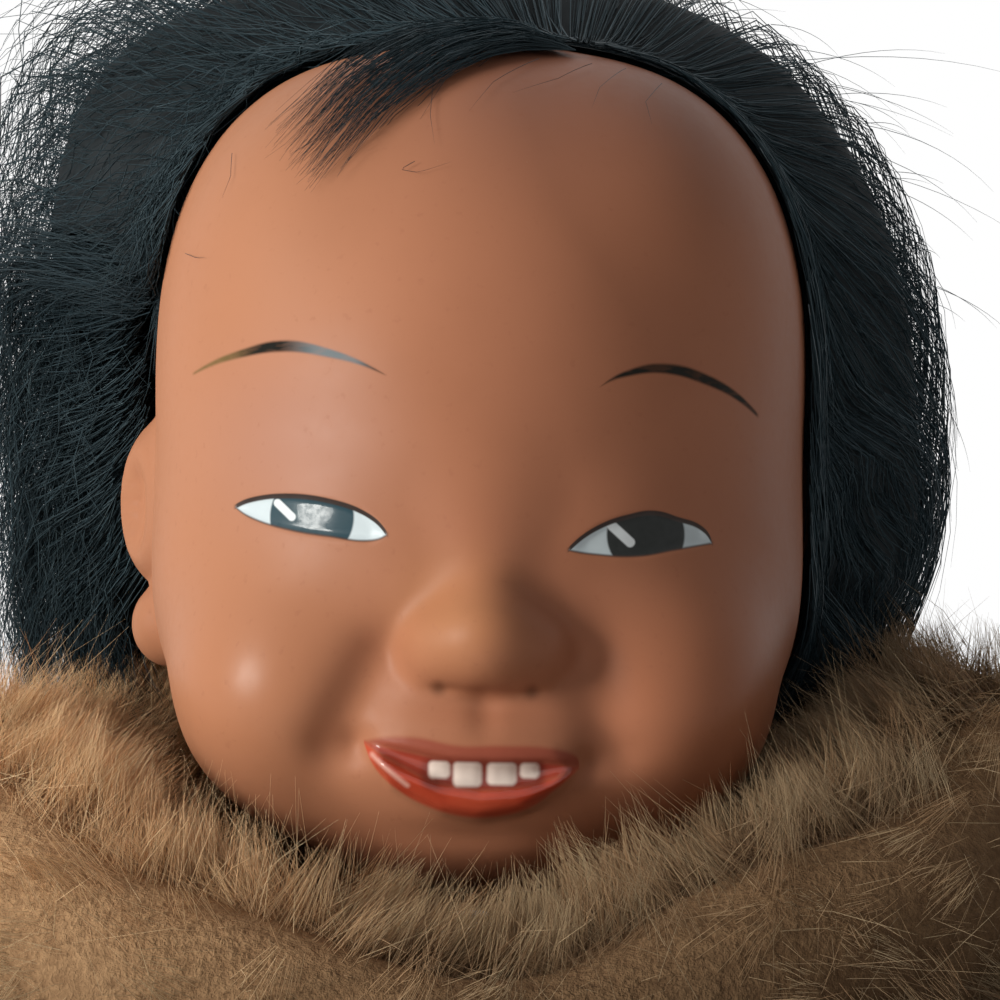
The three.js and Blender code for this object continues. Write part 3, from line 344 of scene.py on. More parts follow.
# Outlines of the painted features, as (x, z) in the head's frame
RIGHT_EYE_UPPER = [(-25.4, 1.35), (-23.2, 2.2), (-19.1, 2.6), (-15.0, 2.15), (-11.5, 1.05), (-8.9, -1.15)]
RIGHT_EYE_LOWER = [(-25.4, 1.35), (-23.2, 0.15), (-19.1, -0.9), (-15.0, -1.45), (-10.7, -1.8), (-8.9, -1.15)]
LEFT_EYE_UPPER = [(9.5, -2.4), (12.8, 0.05), (15.6, 1.05), (18.3, 1.5), (21.1, 0.85), (23.2, 0.2), (24.8, -1.6)]
LEFT_EYE_LOWER = [(9.5, -2.4), (12.2, -2.8), (16.4, -2.95), (20.5, -2.3), (23.8, -1.75), (24.8, -1.6)]
UPPER_LIP_TOP = [(-11.0, -22.3), (-6.5, -21.5), (-0.7, -22.2), (2.9, -22.1), (8.4, -22.4), (11.0, -24.4)]
MOUTH_TOP = [(-11.0, -22.3), (-6.0, -23.1), (-1.5, -23.9), (3.0, -24.0), (7.5, -23.9), (11.0, -24.4)]
MOUTH_BOTTOM = [(-11.0, -22.3), (-7.0, -24.4), (-3.0, -26.0), (1.0, -26.6), (4.6, -26.3), (7.5, -25.6),
                (11.0, -24.4)]
LOWER_LIP_BOTTOM = [(-11.0, -22.3), (-8.1, -26.4), (-3.0, -29.0), (0.8, -29.6), (5.2, -28.8), (8.6, -26.5),
                    (11.0, -24.4)]
TOOTH_TOP = -23.85
TEETH = [(-4.25, -2.1, -25.55), (-1.75, 1.1, -26.3), (1.65, 4.6, -26.1), (4.95, 6.9, -25.4)]


def line_height(x, points):
    """The height at x of a line through points, held level past its ends."""
    xs, zs = np.array(points).T
    return np.interp(x, xs, zs)


def bump(x, z, cx, cz, sx, sz):
    return np.exp(-((x - cx) / sx) ** 2 - ((z - cz) / sz) ** 2)


def step(value, low, high):
    share = np.clip((value - low) / (high - low), 0, 1)
    return share * share * (3 - 2 * share)


def between(x, z, upper, lower, soft):
    """1 between two lines, falling to 0 over a soft edge and towards both ends."""
    taper = min(2.0, 0.25 * (upper[-1][0] - upper[0][0]))
    ends = step(x - upper[0][0], -0.2, taper) * step(upper[-1][0] - x, -0.2, taper)
    return ends * step(line_height(x, upper) - z, -soft, soft) * step(z - line_height(x, lower), -soft, soft)


def face_relief(x, z):
    """How far the lids, lips and folds stand proud of the plain head."""
    relief = np.zeros_like(x)
    for cx, cz in ((-17.0, 0.3), (17.0, -0.8)):
        relief -= 1.3 * bump(x, z, cx, cz + 1.0, 11, 8)
        relief += 1.5 * bump(x, z, cx, cz + 0.6, 8.2, 4.6)
        relief += 0.5 * bump(x, z, cx, cz + 5.4, 10.0, 3.0)
        relief += 0.25 * bump(x, z, cx, cz - 4.8, 8.0, 2.6)
    relief -= 0.45 * between(x, z, RIGHT_EYE_UPPER, RIGHT_EYE_LOWER, 0.45)
    relief -= 0.45 * between(x, z, LEFT_EYE_UPPER, LEFT_EYE_LOWER, 0.45)
    for side in (-1, 1):
        start, end = np.array([NOSE_ASIDE + side * 10.5, -13.5]), np.array([0.3 + side * 14.0, -22.5])
        along = end - start
        share = np.clip(((x - start[0]) * along[0] + (z - start[1]) * along[1]) / (along @ along), 0, 1)
        off = np.hypot(x - start[0] - share * along[0], z - start[1] - share * along[1])
        relief -= 1.5 * np.exp(-(off / 3.3) ** 2)
    relief += 0.35 * between(x, z, UPPER_LIP_TOP, MOUTH_TOP, 0.8)
    relief += 1.4 * between(x, z, MOUTH_BOTTOM, LOWER_LIP_BOTTOM, 1.1)
    relief -= 0.6 * between(x, z, MOUTH_TOP, MOUTH_BOTTOM, 0.7)
    for left, right, low in TEETH:
        relief += 0.2 * between(x, z, [(left, TOOTH_TOP), (right, TOOTH_TOP)], [(left, low), (right, low)], 0.25)
    relief -= 0.8 * bump(x, z, 0.6, -31.8, 8, 1.8)
    relief -= 0.5 * bump(x, z, NOSE_ASIDE, -19.0, 1.6, 2.4)
    relief -= 0.8 * bump(x, z, -11.6, -22.6, 1.6, 1.8) + 0.8 * bump(x, z, 11.8, -24.2, 1.6, 1.8)
    relief -= 0.6 * bump(x, z, NOSE_ASIDE, -18.4, 8.0, 1.5)
    relief -= 0.4 * (bump(x, z, NOSE_ASIDE - 4.4, -16.6, 1.8, 0.6) + bump(x, z, NOSE_ASIDE + 4.4, -16.8, 1.8, 0.6))
    edge = z - line_height(x, MOUTH_BOTTOM) + 0.9
    relief += 0.4 * np.exp(-(edge / 0.6) ** 2) * step(x, -10.8, -9.0) * step(-x, 2.0, 5.0)
    return relief


def head_points(directions):
    """The finished surface of the head along directions from its origin, in the head's frame."""
    points = directions * reach(head_field, directions)[:, None]
    facing = step(-points[:, 1], 4, 18)
    points[:, 1] -= face_relief(points[:, 0], points[:, 2]) * facing
    return points


def make_head_mesh():
    bm = bmesh.new()
    bmesh.ops.create_icosphere(bm, subdivisions=7, radius=1.0)
    fine = [f for f in bm.faces if f.calc_center_median().y < -0.66]
    edges = list({e for f in fine for e in f.edges})
    bmesh.ops.subdivide_edges(bm, edges=edges, cuts=1, use_grid_fill=True)
    bmesh.ops.triangulate(bm, faces=[f for f in bm.faces if len(f.verts) > 4])
    directions = np.array([v.co.normalized() for v in bm.verts])
    for vert, point in zip(bm.verts, head_points(directions)):
        vert.co = point + np.array([0, 0, EYES])
    return mesh_of(bm, "head")


def stroke(nodes, x, z, start, end, radius, soft=0.12):
    """A mask of a short painted stroke from start to end."""
    ax, az = start
    dx, dz = end[0] - ax, end[1] - az
    square = dx * dx + dz * dz
    px = nodes.math("SUBTRACT", x, ax)
    pz = nodes.math("SUBTRACT", z, az)
    dot = nodes.math("ADD", nodes.math("MULTIPLY", px, dx / square), nodes.math("MULTIPLY", pz, dz / square), True)
    ox = nodes.math("SUBTRACT", px, nodes.math("MULTIPLY", dot, dx))
    oz = nodes.math("SUBTRACT", pz, nodes.math("MULTIPLY", dot, dz))
    return nodes.ramp(nodes.distance(ox, oz), radius - soft, radius + soft, 1.0, 0.0)


def bisque_material():
    """Satin brown bisque with the features painted on it."""
    material, shader, n = new_material("bisque_face", Specular_IOR_Level=0.13, Coat_Roughness=0.09)
    where = n.place()
    local = n.vector("MULTIPLY", n.vector("SUBTRACT", where, (0, 0, EYES * MM)), (1000.0, 1000.0, 1000.0))
    split = n.add("ShaderNodeSeparateXYZ", {"Vector": local})
    x, y, z = split.outputs
    front = n.ramp(y, -16.0, -12.0, 1.0, 0.0)

    def inside(upper, lower, soft=0.1):
        top = n.ramp(n.math("SUBTRACT", n.curve(x, upper), z), -soft, soft)
        low = n.ramp(n.math("SUBTRACT", z, n.curve(x, lower)), -soft, soft)
        span = n.math("MULTIPLY", n.ramp(x, upper[0][0] - 0.02, upper[0][0] + 0.1),
                      n.ramp(x, upper[-1][0] - 0.1, upper[-1][0] + 0.02, 1.0, 0.0))
        return n.math("MULTIPLY", n.math("MULTIPLY", n.math("MULTIPLY", top, low), span), front)

    def line_along(points, half_width, soft=0.12):
        off = n.math("ABSOLUTE", n.math("SUBTRACT", z, n.curve(x, points)))
        span = n.math("MULTIPLY", n.ramp(x, points[0][0] - 0.3, points[0][0] + 0.3),
                      n.ramp(x, points[-1][0] - 0.3, points[-1][0] + 0.3, 1.0, 0.0))
        near = n.ramp(n.math("SUBTRACT", half_width, off), -soft, soft)
        return n.math("MULTIPLY", n.math("MULTIPLY", near, span), front)

    def disc(cx, cz, radius):
        dx, dz = n.math("SUBTRACT", x, cx), n.math("SUBTRACT", z, cz)
        off = n.distance(dx, dz)
        return n.ramp(off, radius - 0.15, radius + 0.15, 1.0, 0.0)

    def rounded_box(left, right, low, high, corner, soft):
        def past(at, start, end):
            aside = n.math("ABSOLUTE", n.math("SUBTRACT", at, (start + end) / 2))
            return n.math("MAXIMUM", n.math("SUBTRACT", aside, (end - start) / 2 - corner), 0.0)

        off = n.distance(past(x, left, right), past(z, low, high))
        return n.ramp(off, corner - soft, corner + soft, 1.0, 0.0)

    # Skin: brown, warmer on the cheeks, with faint mottling, and painted light and shade laid over it
    tint = n.effect(MOTTLING, Place=where, Scale=38.0, Detail=3.0, Roughness=0.5, Low=0.3, High=0.7,
                    Dark=(0.35, 0.135, 0.072, 1), Light=(0.40, 0.158, 0.086, 1))
    skin, cloud = tint["Colour"], tint["Cloud"]
    speck = n.noise(900.0, 2.0, where)
    cheek = n.math("ADD", disc_soft(n, x, z, -23.0, -15.0, 15.0), disc_soft(n, x, z, 23.0, -16.0, 15.0), True)
    skin = n.mix(n.math("MULTIPLY", cheek, 0.3), skin, (0.42, 0.14, 0.062, 1))
    # Painted light: the skin turns paler and yellower towards the doll's right, the side the key lamp lights
    skin = n.mix(n.ramp(x, -30.0, 10.0, 0.6, 0.0), skin, (0.43, 0.192, 0.10, 1))
    # Painted sheen: a paler, pinker patch over the lid on the doll's right, the lit side
    painted_lid_sheen = n.math("MULTIPLY", disc_soft(n, x, z, -19.0, 8.0, 17.0), 0.55)
    skin = n.mix(painted_lid_sheen, skin, (0.41, 0.205, 0.15, 1))
    # Painted light: a paler, yellower patch on the nose, where the lamp lights it most
    skin = n.mix(n.math("MULTIPLY", disc_soft(n, x, z, -2.0, -9.0, 10.0), 0.6), skin, (0.43, 0.185, 0.08, 1))
    brow_shade = n.math("MULTIPLY", n.ramp(z, 28.0, 50.0, 0.0, 0.6), n.ramp(x, -16.0, 6.0))
    skin = n.mix(brow_shade, skin, (0.20, 0.082, 0.055, 1))
    # Painted shade: the skin darkens towards the outer edge on the doll's left, the side away from the lamp
    skin = n.mix(n.ramp(x, 25.0, 37.0, 0.0, 0.45), skin, (0.19, 0.07, 0.036, 1))
    skin = n.mix(n.ramp(speck, 0.62, 0.8, 0.0, 0.25), skin, (0.28, 0.10, 0.055, 1))
    colour = skin
    gloss = 0.0

    # Eyes
    # The iris on the doll's right, the lit side, is painted blue-grey rather than near-black: a painted reflection;
    # the other iris is plain dark paint
    for upper, lower, iris, iris_paint_and_reflection, tick in (
        (RIGHT_EYE_UPPER, RIGHT_EYE_LOWER, (-16.9, 0.5, 4.5), (0.016, 0.045, 0.06, 1),
         ((-20.6, 1.85), (-19.0, 0.45), 0.42)),
        (LEFT_EYE_UPPER, LEFT_EYE_LOWER, (17.6, -0.75, 4.15), (0.012, 0.014, 0.013, 1),
         ((13.9, 0.2), (15.9, -1.55), 0.5)),
    ):
        eye = inside(upper, lower)
        paint = n.mix(disc(*iris), (0.56, 0.63, 0.66, 1), iris_paint_and_reflection)
        paint = n.mix(stroke(n, x, z, *tick), paint, (0.72, 0.76, 0.78, 1))
        colour = n.mix(eye, colour, paint)
        lid = line_along(upper, 0.26)
        lower_line = n.math("MULTIPLY", line_along(lower, 0.12), 0.7)
        colour = n.mix(n.math("MAXIMUM", lid, lower_line), colour, (0.035, 0.022, 0.018, 1))
        glint = n.ramp(n.noise(1500.0, 2.0, where), 0.35, 0.65, 0.22, 0.42)
        glint = n.math("MULTIPLY", glint, n.ramp(x, -15.4, -13.8, 1.0, 0.3))
        gloss = n.math("MAXIMUM", n.math("MULTIPLY", eye, glint), gloss)

    # Brows, tapered to both ends
    brows = 0.0
    streak = n.ramp(n.noise(1400.0, 2.0, n.vector("MULTIPLY", where, (0.25, 0.25, 1.0))), 0.35, 0.6, 0.88, 1.0)
    # Painted reflection: a blue-grey band across the middle of the brow on the doll's right, the lit side
    painted_brow_reflection = n.math("MULTIPLY", n.ramp(x, -21.0, -16.0), n.ramp(x, -13.0, -10.0, 1.0, 0.0))
    for points, widths in (
        ([(-31.1, 15.7), (-25.0, 17.6), (-20.4, 18.2), (-15.9, 17.5), (-9.4, 15.1)],
         [(-31.1, 0.1), (-25.0, 0.42), (-20.4, 0.58), (-15.9, 0.46), (-9.4, -0.02)]),
        ([(12.5, 14.3), (15.5, 15.85), (19.1, 16.5), (23.7, 15.7), (30.2, 12.2)],
         [(12.5, -0.05), (15.5, 0.32), (19.1, 0.5), (23.7, 0.56), (30.2, 0.22)]),
    ):
        brow = n.math("MULTIPLY", line_along(points, n.curve(x, widths), 0.22), streak)
        ink = n.mix(n.ramp(x, -27.5, -23.0, 1.0, 0.0), (0.006, 0.006, 0.004, 1), (0.15, 0.095, 0.035, 1))
        ink = n.mix(n.math("MULTIPLY", painted_brow_reflection, 0.8), ink, (0.19, 0.22, 0.235, 1))
        colour = n.mix(brow, colour, ink)
        brows = n.math("MAXIMUM", brow, brows)

    # Nostrils: dark discs of painted shade in their pits
    for cx, cz in ((NOSE_ASIDE - 4.7, -16.5), (NOSE_ASIDE + 4.7, -16.7)):
        nostril_painted_shade = n.math("MULTIPLY", disc_soft(n, x, z, cx, cz, 1.3), n.math("MULTIPLY", front, 0.6))
        colour = n.mix(nostril_painted_shade, colour, (0.07, 0.026, 0.014, 1))

    # Mouth: dark opening, lips and teeth, with painted shade behind the teeth and a painted highlight on the lower
    # lip
    opening = inside(MOUTH_TOP, MOUTH_BOTTOM, 0.3)
    upper_lip = inside(UPPER_LIP_TOP, MOUTH_TOP, 0.35)
    lower_lip = inside(MOUTH_BOTTOM, LOWER_LIP_BOTTOM, 0.35)
    lip_tone = n.ramp(n.noise(160.0, 2.0, where), 0.35, 0.65)
    colour = n.mix(n.math("MULTIPLY", upper_lip, 0.85), colour, (0.27, 0.055, 0.032, 1))
    lip_red = n.mix(lip_tone, (0.40, 0.045, 0.02, 1), (0.48, 0.07, 0.032, 1))
    colour = n.mix(lower_lip, colour, lip_red)
    # Painted highlight: a pale streak along the lower lip on the doll's right
    painted_lip_highlight = n.math("MULTIPLY", stroke(n, x, z, (-10.0, -23.5), (-6.4, -26.3), 0.25, 0.3), 0.7)
    colour = n.mix(n.math("MULTIPLY", painted_lip_highlight, front), colour, (0.72, 0.42, 0.34, 1))
    colour = n.mix(opening, colour, (0.33, 0.052, 0.03, 1))
    # Painted shade: the mouth darkens behind and between the teeth
    painted_shade_behind_teeth = n.math("MULTIPLY", rounded_box(-4.9, 7.4, -26.5, TOOTH_TOP + 0.3, 1.0, 0.6), front)
    colour = n.mix(n.math("MULTIPLY", painted_shade_behind_teeth, 0.8), colour, (0.15, 0.024, 0.016, 1))
    gloss = n.math("MAXIMUM", n.math("MULTIPLY", n.math("MAXIMUM", lower_lip, opening), 0.5), gloss)
    for left, right, low in TEETH:
        tooth = n.math("MULTIPLY", rounded_box(left, right, low, TOOTH_TOP, 0.5, 0.28), front)
        colour = n.mix(tooth, colour, (0.68, 0.56, 0.49, 1))

    n.put(shader.inputs["Base Color"], colour)
    rough = n.math("ADD", n.ramp(speck, 0.3, 0.7, -0.02, 0.02), n.ramp(cloud, 0.3, 0.7, 0.45, 0.49))
    rough = n.math("SUBTRACT", rough, n.math("MULTIPLY", cheek, 0.13))
    rough = n.math("ADD", rough, n.math("MULTIPLY", brows, 0.3))
    n.put(shader.inputs["Roughness"], n.math("SUBTRACT", rough, n.math("MULTIPLY", gloss, 0.3)))
    n.put(shader.inputs["Coat Weight"], gloss)
    n.relief(shader, speck, 0.015, 0.0002)
    return material


def disc_soft(n, x, z, cx, cz, radius):
    """A mask that fades from the middle of a disc to its edge."""
    dx, dz = n.math("SUBTRACT", x, cx), n.math("SUBTRACT", z, cz)
    off = n.distance(dx, dz)
    return n.ramp(off, 0.0, radius, 1.0, 0.0)


piece("face", make_head_mesh(), bisque_material(), "head", "bisque", "head")


# Hair and fur: thin tapered strands over a dark base

def strand_mesh(name, paths, radius, tone):
    """Three-sided strands along paths (count, steps, 3) in millimetres, tapered to their tips."""
    count, steps, _ = paths.shape
    along = np.gradient(paths, axis=1)
    along /= np.maximum(np.linalg.norm(along, axis=2, keepdims=True), 1e-9)
    any_way = rng.normal(size=(count, 1, 3))
    side = np.cross(along, any_way)
    side /= np.maximum(np.linalg.norm(side, axis=2, keepdims=True), 1e-9)
    other = np.cross(along, side)
    share = np.linspace(0, 1, steps)
    width = radius[:, None] * (1 - 0.85 * share[None, :] ** 1.6)
    turns = np.arange(3) * 2 * np.pi / 3
    ring = (np.cos(turns)[None, None, :, None] * side[:, :, None, :]
            + np.sin(turns)[None, None, :, None] * other[:, :, None, :])
    verts = (paths[:, :, None, :] + width[:, :, None, None] * ring).reshape(-1, 3) * MM
    row, corner = np.meshgrid(np.arange(steps - 1), np.arange(3), indexing="ij")
    following = (corner + 1) % 3
    quad = np.stack([row * 3 + corner, row * 3 + following, row * 3 + 3 + following, row * 3 + 3 + corner], -1)
    quads = (np.arange(count)[:, None, None] * steps * 3 + quad.reshape(1, -1, 4)).reshape(-1, 4)
    mesh = bpy.data.meshes.new(name)
    mesh.vertices.add(len(verts))
    mesh.vertices.foreach_set("co", verts.ravel())
    mesh.loops.add(quads.size)
    mesh.loops.foreach_set("vertex_index", quads.ravel())
    mesh.polygons.add(len(quads))
    mesh.polygons.foreach_set("loop_start", np.arange(len(quads)) * 4)
    mesh.update(calc_edges=True)
    for label, values in (
        ("tone", np.repeat(tone, steps * 3)),
        ("tip", np.tile(np.repeat(share, 3), count)),
    ):
        mesh.attributes.new(label, "FLOAT", "POINT").data.foreach_set("value", values.astype(np.float32))
    return mesh


def hair_material():
    material, shader, n = new_material("black_hair", Specular_IOR_Level=0.3, Specular_Tint=(0.7, 0.93, 1.0, 1))
    tone = n.attribute("tone")
    colour = n.mix(tone, (0.0055, 0.0105, 0.0138, 1), (0.0155, 0.0285, 0.0365, 1))
    n.put(shader.inputs["Base Color"], colour)
    n.put(shader.inputs["Roughness"], n.mix_value(n.ramp(tone, 0.9, 1.0), 0.55, 0.3))
    return material


def hair_base_material():
    material, shader, n = new_material("hair_base", Roughness=0.7, Specular_IOR_Level=0.2)
    streak = n.noise(400.0, 3.0, n.vector("MULTIPLY", n.place(), (1.0, 1.0, 0.15)))
    n.put(shader.inputs["Base Color"], n.mix(streak, (0.004, 0.006, 0.0075, 1), (0.013, 0.0185, 0.0215, 1)))
    return material


BLACK_HAIR = hair_material()
HAIR_CENTRE = np.array([0.0, 14.0, 12.0])
HAIR_RADII = np.array([58.5, 46.0, 58.0])
WHORL = np.array([11.0, -8.0, 55.0])
WINDOW_HALF_WIDTH = 38.2
WINDOW_TOP = 56.0
WINDOW_BOTTOM = -46.8
WINDOW_MIDDLE = (WINDOW_TOP + WINDOW_BOTTOM) / 2
WINDOW_HALF_HEIGHT = (WINDOW_TOP - WINDOW_BOTTOM) / 2
LOWEST_ROOT = -6.0


def unit(v):
    return v / np.maximum(np.linalg.norm(v, axis=-1, keepdims=True), 1e-9)


def hair_field(p):
    q = (p - HAIR_CENTRE) / HAIR_RADII
    fullness = 2.6 - 0.4 * np.clip(q[:, :1], 0, 1) - 1.8 * np.clip(q[:, :1], -1, 0)
    return (np.abs(q) ** fullness).sum(axis=1) - 1


skin_at = reach_map(head_field)
hair_at = reach_map(hair_field)


def window_share(p):
    """1 on the edge of the face opening in the hair, below 1 inside it."""
    aside, above = p[:, 0] / WINDOW_HALF_WIDTH, (p[:, 2] - WINDOW_MIDDLE) / WINDOW_HALF_HEIGHT
    return (np.abs(aside) ** 3 + np.abs(above) ** 3) ** (1 / 3)


def clear_of_face(d, slack):
    """Directions moved out of the face opening and, on the doll's right, behind the ear."""
    for _ in range(4):
        skin = d * skin_at(d)[:, None]
        share = np.maximum(window_share(skin), 0.05)
        front = step(-skin[:, 1], -6, 3)
        out = 1 + (np.maximum((1.0 + slack) / share, 1) - 1) * front
        moved = np.column_stack([skin[:, 0] * out, skin[:, 1], skin[:, 2] * out])
        ear = step(-skin[:, 0], 12, 30) * step(29 - skin[:, 2], 0, 24)
        behind = 14 + 40 * slack
        moved[:, 1] = moved[:, 1] + ear * np.maximum(behind - moved[:, 1], 0)
        d = unit(moved)
    return d


def hair_depth(d):
    """Thickness of the hair over the head along a direction."""
    skin_reach = skin_at(d)
    skin = d * skin_reach[:, None]
    depth = np.maximum(hair_at(d) - skin_reach, 1.0)
    front = step(-skin[:, 1], -14, 0)
    near_edge = step(window_share(skin), 0.98, 1.32)
    return skin_reach, depth * (1 - front * (1 - (0.09 + 0.91 * near_edge)))


def hair_strands(count, steps=9):
    """Strands that run from the whorl over the head, down to the shoulders of the ruff."""
    whorl = unit(WHORL - np.array([0, 6, 0]))
    roots = unit(rng.normal(size=(count * 4, 3)))
    skin = roots * skin_at(roots)[:, None]
    front = skin[:, 1] < 4
    kept = (skin[:, 2] > LOWEST_ROOT) & ((window_share(skin) > 0.96) | ~front)
    roots = roots[kept][:count]
    count = len(roots)
    start = np.arccos(np.clip(roots @ whorl, -1, 1))
    axis = unit(np.cross(whorl[None, :], roots))
    across = np.cross(axis, whorl[None, :])
    fine = 40
    length = rng.uniform(0.4, 1.0, count) * (1 - 0.35 * step(-roots[:, 0], 0.0, 0.5) * step(roots[:, 2], 0.0, 0.5))
    share = np.linspace(0, 1, fine)
    turn = start[:, None] - 0.05 + length[:, None] * share[None, :]
    d = np.cos(turn)[..., None] * whorl + np.sin(turn)[..., None] * across[:, None, :]
    slack = np.repeat(rng.uniform(0.0, 0.07, count), fine)
    d = clear_of_face(d.reshape(-1, 3), slack)
    skin_reach, depth = hair_depth(d)
    stand = 1 + 0.3 * step(-roots[:, 0], 0.0, 0.5) * step(roots[:, 2], 0.1, 0.6) * rng.uniform(0, 1, count)
    layer = np.repeat((1 - rng.uniform(0, 1, count) ** 2.2 * 0.55) * stand, fine)
    rise = np.tile(step(share, 0.0, 0.35), count)
    crown = np.repeat(step(start, 0.9, 0.3) * 0.5, fine)
    full = 0.35 + crown + (0.65 - crown) * rise
    paths = (d * (skin_reach + 0.6 + depth * layer * full)[:, None]).reshape(count, fine, 3)
    right = step(-paths[:, fine // 2, 0], -8, 22)
    frizz = 0.3 + 1.3 * right * rng.uniform(0.3, 1.2, count)
    sway = rng.uniform(0, 2 * np.pi, (count, 1, 3))
    pace = rng.uniform(5, 9, (count, 1, 1)) + right[:, None, None] * rng.uniform(4, 12, (count, 1, 1))
    grow = share[None, :, None]
    paths = paths + np.sin(grow * pace + sway) * np.minimum(grow * 2, 1) * frizz[:, None, None]
    drift = rng.normal(0, 1, (count, 1, 3)) * (0.8 + 3.2 * right)[:, None, None]
    paths = paths + drift * grow ** 2
    end = rng.uniform(-34, -20, count) + 10 * step(paths[:, -1, 1], 24, 42)
    under = paths[:, :, 2] < end[:, None]
    last = np.where(under.any(axis=1), under.argmax(axis=1), fine - 1)
    last = np.maximum(last, 4)
    return resample(paths, last, steps)


def resample(paths, last, steps):
    """Each path cut at its own last point and laid out again in even steps."""
    where = last[:, None] * np.linspace(0, 1, steps)[None, :]
    low = np.minimum(where.astype(int), paths.shape[1] - 2)
    part = (where - low)[..., None]
    row = np.arange(len(paths))[:, None]
    return paths[row, low] * (1 - part) + paths[row, low + 1] * part


def make_hair_base():
    bm = bmesh.new()
    bmesh.ops.create_icosphere(bm, subdivisions=6, radius=1.0)
    first = np.array([v.co.normalized() for v in bm.verts])
    d = clear_of_face(first, np.full(len(first), 0.07))
    moved = np.linalg.norm(d - first, axis=1) > 0.06
    skin_reach, depth = hair_depth(d)
    flat = d * skin_reach[:, None]
    end = -24.0 + 10 * step(flat[:, 1], 20, 40)
    hanging = step(flat[:, 2] - end, 0, 7)
    points = d * (skin_reach + 0.5 + np.maximum(depth * 0.84 - 1.0, 0.2) * hanging)[:, None]
    for vert, point in zip(bm.verts, points):
        vert.co = point
    bare = [v for v, f, e, m in zip(bm.verts, flat, end, moved) if f[2] < e - 1.5 or m]
    bmesh.ops.delete(bm, geom=bare, context="VERTS")
    bmesh.ops.translate(bm, vec=(0, 0, EYES), verts=bm.verts)
    return bm


def on_head(points, proud):
    """Points over the face at (x, z), laid proud of the head's skin."""
    points = np.asarray(points, float)
    guess = np.column_stack([points[:, 0], np.full(len(points), -30.0), points[:, 1]])
    for _ in range(12):
        d = unit(guess)
        skin = d * skin_at(d)[:, None]
        guess = np.column_stack([points[:, 0], skin[:, 1], points[:, 1]])
    return d * (skin_at(d) + proud)[:, None]


def hairline_strands(count=2600, steps=5):
    """Short hairs along the edge of the face opening, combed back into the rest."""
    angle = rng.uniform(-0.35, math.pi + 0.35, count)
    c, v = np.cos(angle), np.sin(angle)
    size = (np.abs(c) ** 3 + np.abs(v) ** 3) ** (-1 / 3) * rng.uniform(0.975, 1.09, count)
    edge = np.column_stack([WINDOW_HALF_WIDTH * c * size, np.zeros(count),
                            WINDOW_MIDDLE + WINDOW_HALF_HEIGHT * v * size])
    for _ in range(12):
        d = unit(edge)
        skin = d * skin_at(d)[:, None]
        edge[:, 1] = np.minimum(skin[:, 1], 2)
    kept = (edge[:, 0] > 0) | (edge[:, 2] > 23)
    root = unit(edge[kept])
    combed = np.where(root[:, :1] > 0, [[0.32, 0.3, -0.5]], [[-0.36, 0.45, 0.1]])
    back = unit(combed + rng.normal(0, 0.13, root.shape))
    t = np.linspace(0, 1, steps)[None, :, None]
    d = unit(root[:, None] + back[:, None] * t * rng.uniform(0.2, 0.5, (len(root), 1, 1)))
    flat = d.reshape(-1, 3)
    lift = np.tile(0.2 + 3.0 * np.linspace(0, 1, steps), len(root)) * np.repeat(rng.uniform(0.3, 1, len(root)), steps)
    return (flat * (skin_at(flat) + lift)[:, None]).reshape(d.shape)


def fringe_strands(count=420, steps=9):
    """The lock that sweeps from the parting over the forehead, fanned out at its tip."""
    line = np.array([(9.0, 57.0), (2.0, 55.5), (-6.5, 51.8), (-13.0, 46.0), (-19.2, 37.6)])
    fan = np.array([2.6, 3.4, 4.6, 4.8, 4.6])
    knots = np.linspace(0, 1, len(line))
    share = np.linspace(0, 1, steps)
    x, z, wide = (np.interp(share, knots, v) for v in (line[:, 0], line[:, 1], fan))
    where = rng.uniform(-1, 1, count)
    reach_share = 1.1 - 0.6 * rng.uniform(0, 1, count) ** 1.4 - 0.1 * where ** 2
    paths = np.empty((count, steps, 3))
    for i in range(count):
        t = share * reach_share[i]
        px = np.interp(t, share, x) - np.interp(t, share, wide) * where[i] * 0.55
        pz = np.interp(t, share, z) + np.interp(t, share, wide) * where[i] * 0.8
        lift = 0.8 + rng.uniform(0, 2.4) * np.sin(np.pi * np.clip(share, 0, 0.9))
        paths[i] = on_head(np.column_stack([px, pz]), lift)
    astray = rng.normal(0, 1.1, (count, 1, 3)) * share[None, :, None] ** 3
    return paths + astray + rng.normal(0, 0.1, paths.shape) * share[None, :, None]


def stray_strands(steps=9):
    """Single hairs on the forehead."""
    lines = [
        [(-7.0, 37.5), (-8.5, 36.6), (-6.5, 36.2), (-3.2, 37.4)],
        [(-5.5, 47.0), (-5.6, 43.0), (-5.0, 39.5)],
        [(12.0, 52.0), (8.0, 48.5), (3.0, 46.0)],
        [(16.0, 52.0), (12.5, 47.5), (11.5, 44.5)],
        [(20.0, 50.0), (17.5, 46.0), (18.0, 43.0)],
        [(6.0, 52.0), (1.0, 47.5), (-1.5, 43.5)],
        [(-27.5, 40.0), (-27.2, 37.0), (-28.0, 34.5)],
        [(-32.5, 29.0), (-31.0, 28.2), (-29.5, 28.0)],
    ]
    paths = []
    for line in lines:
        line = np.array(line)
        t = np.linspace(0, len(line) - 1, steps)
        flat = np.column_stack([np.interp(t, range(len(line)), line[:, i]) for i in (0, 1)])
        paths.append(on_head(flat, np.full(steps, 0.5)))
    return np.array(paths)


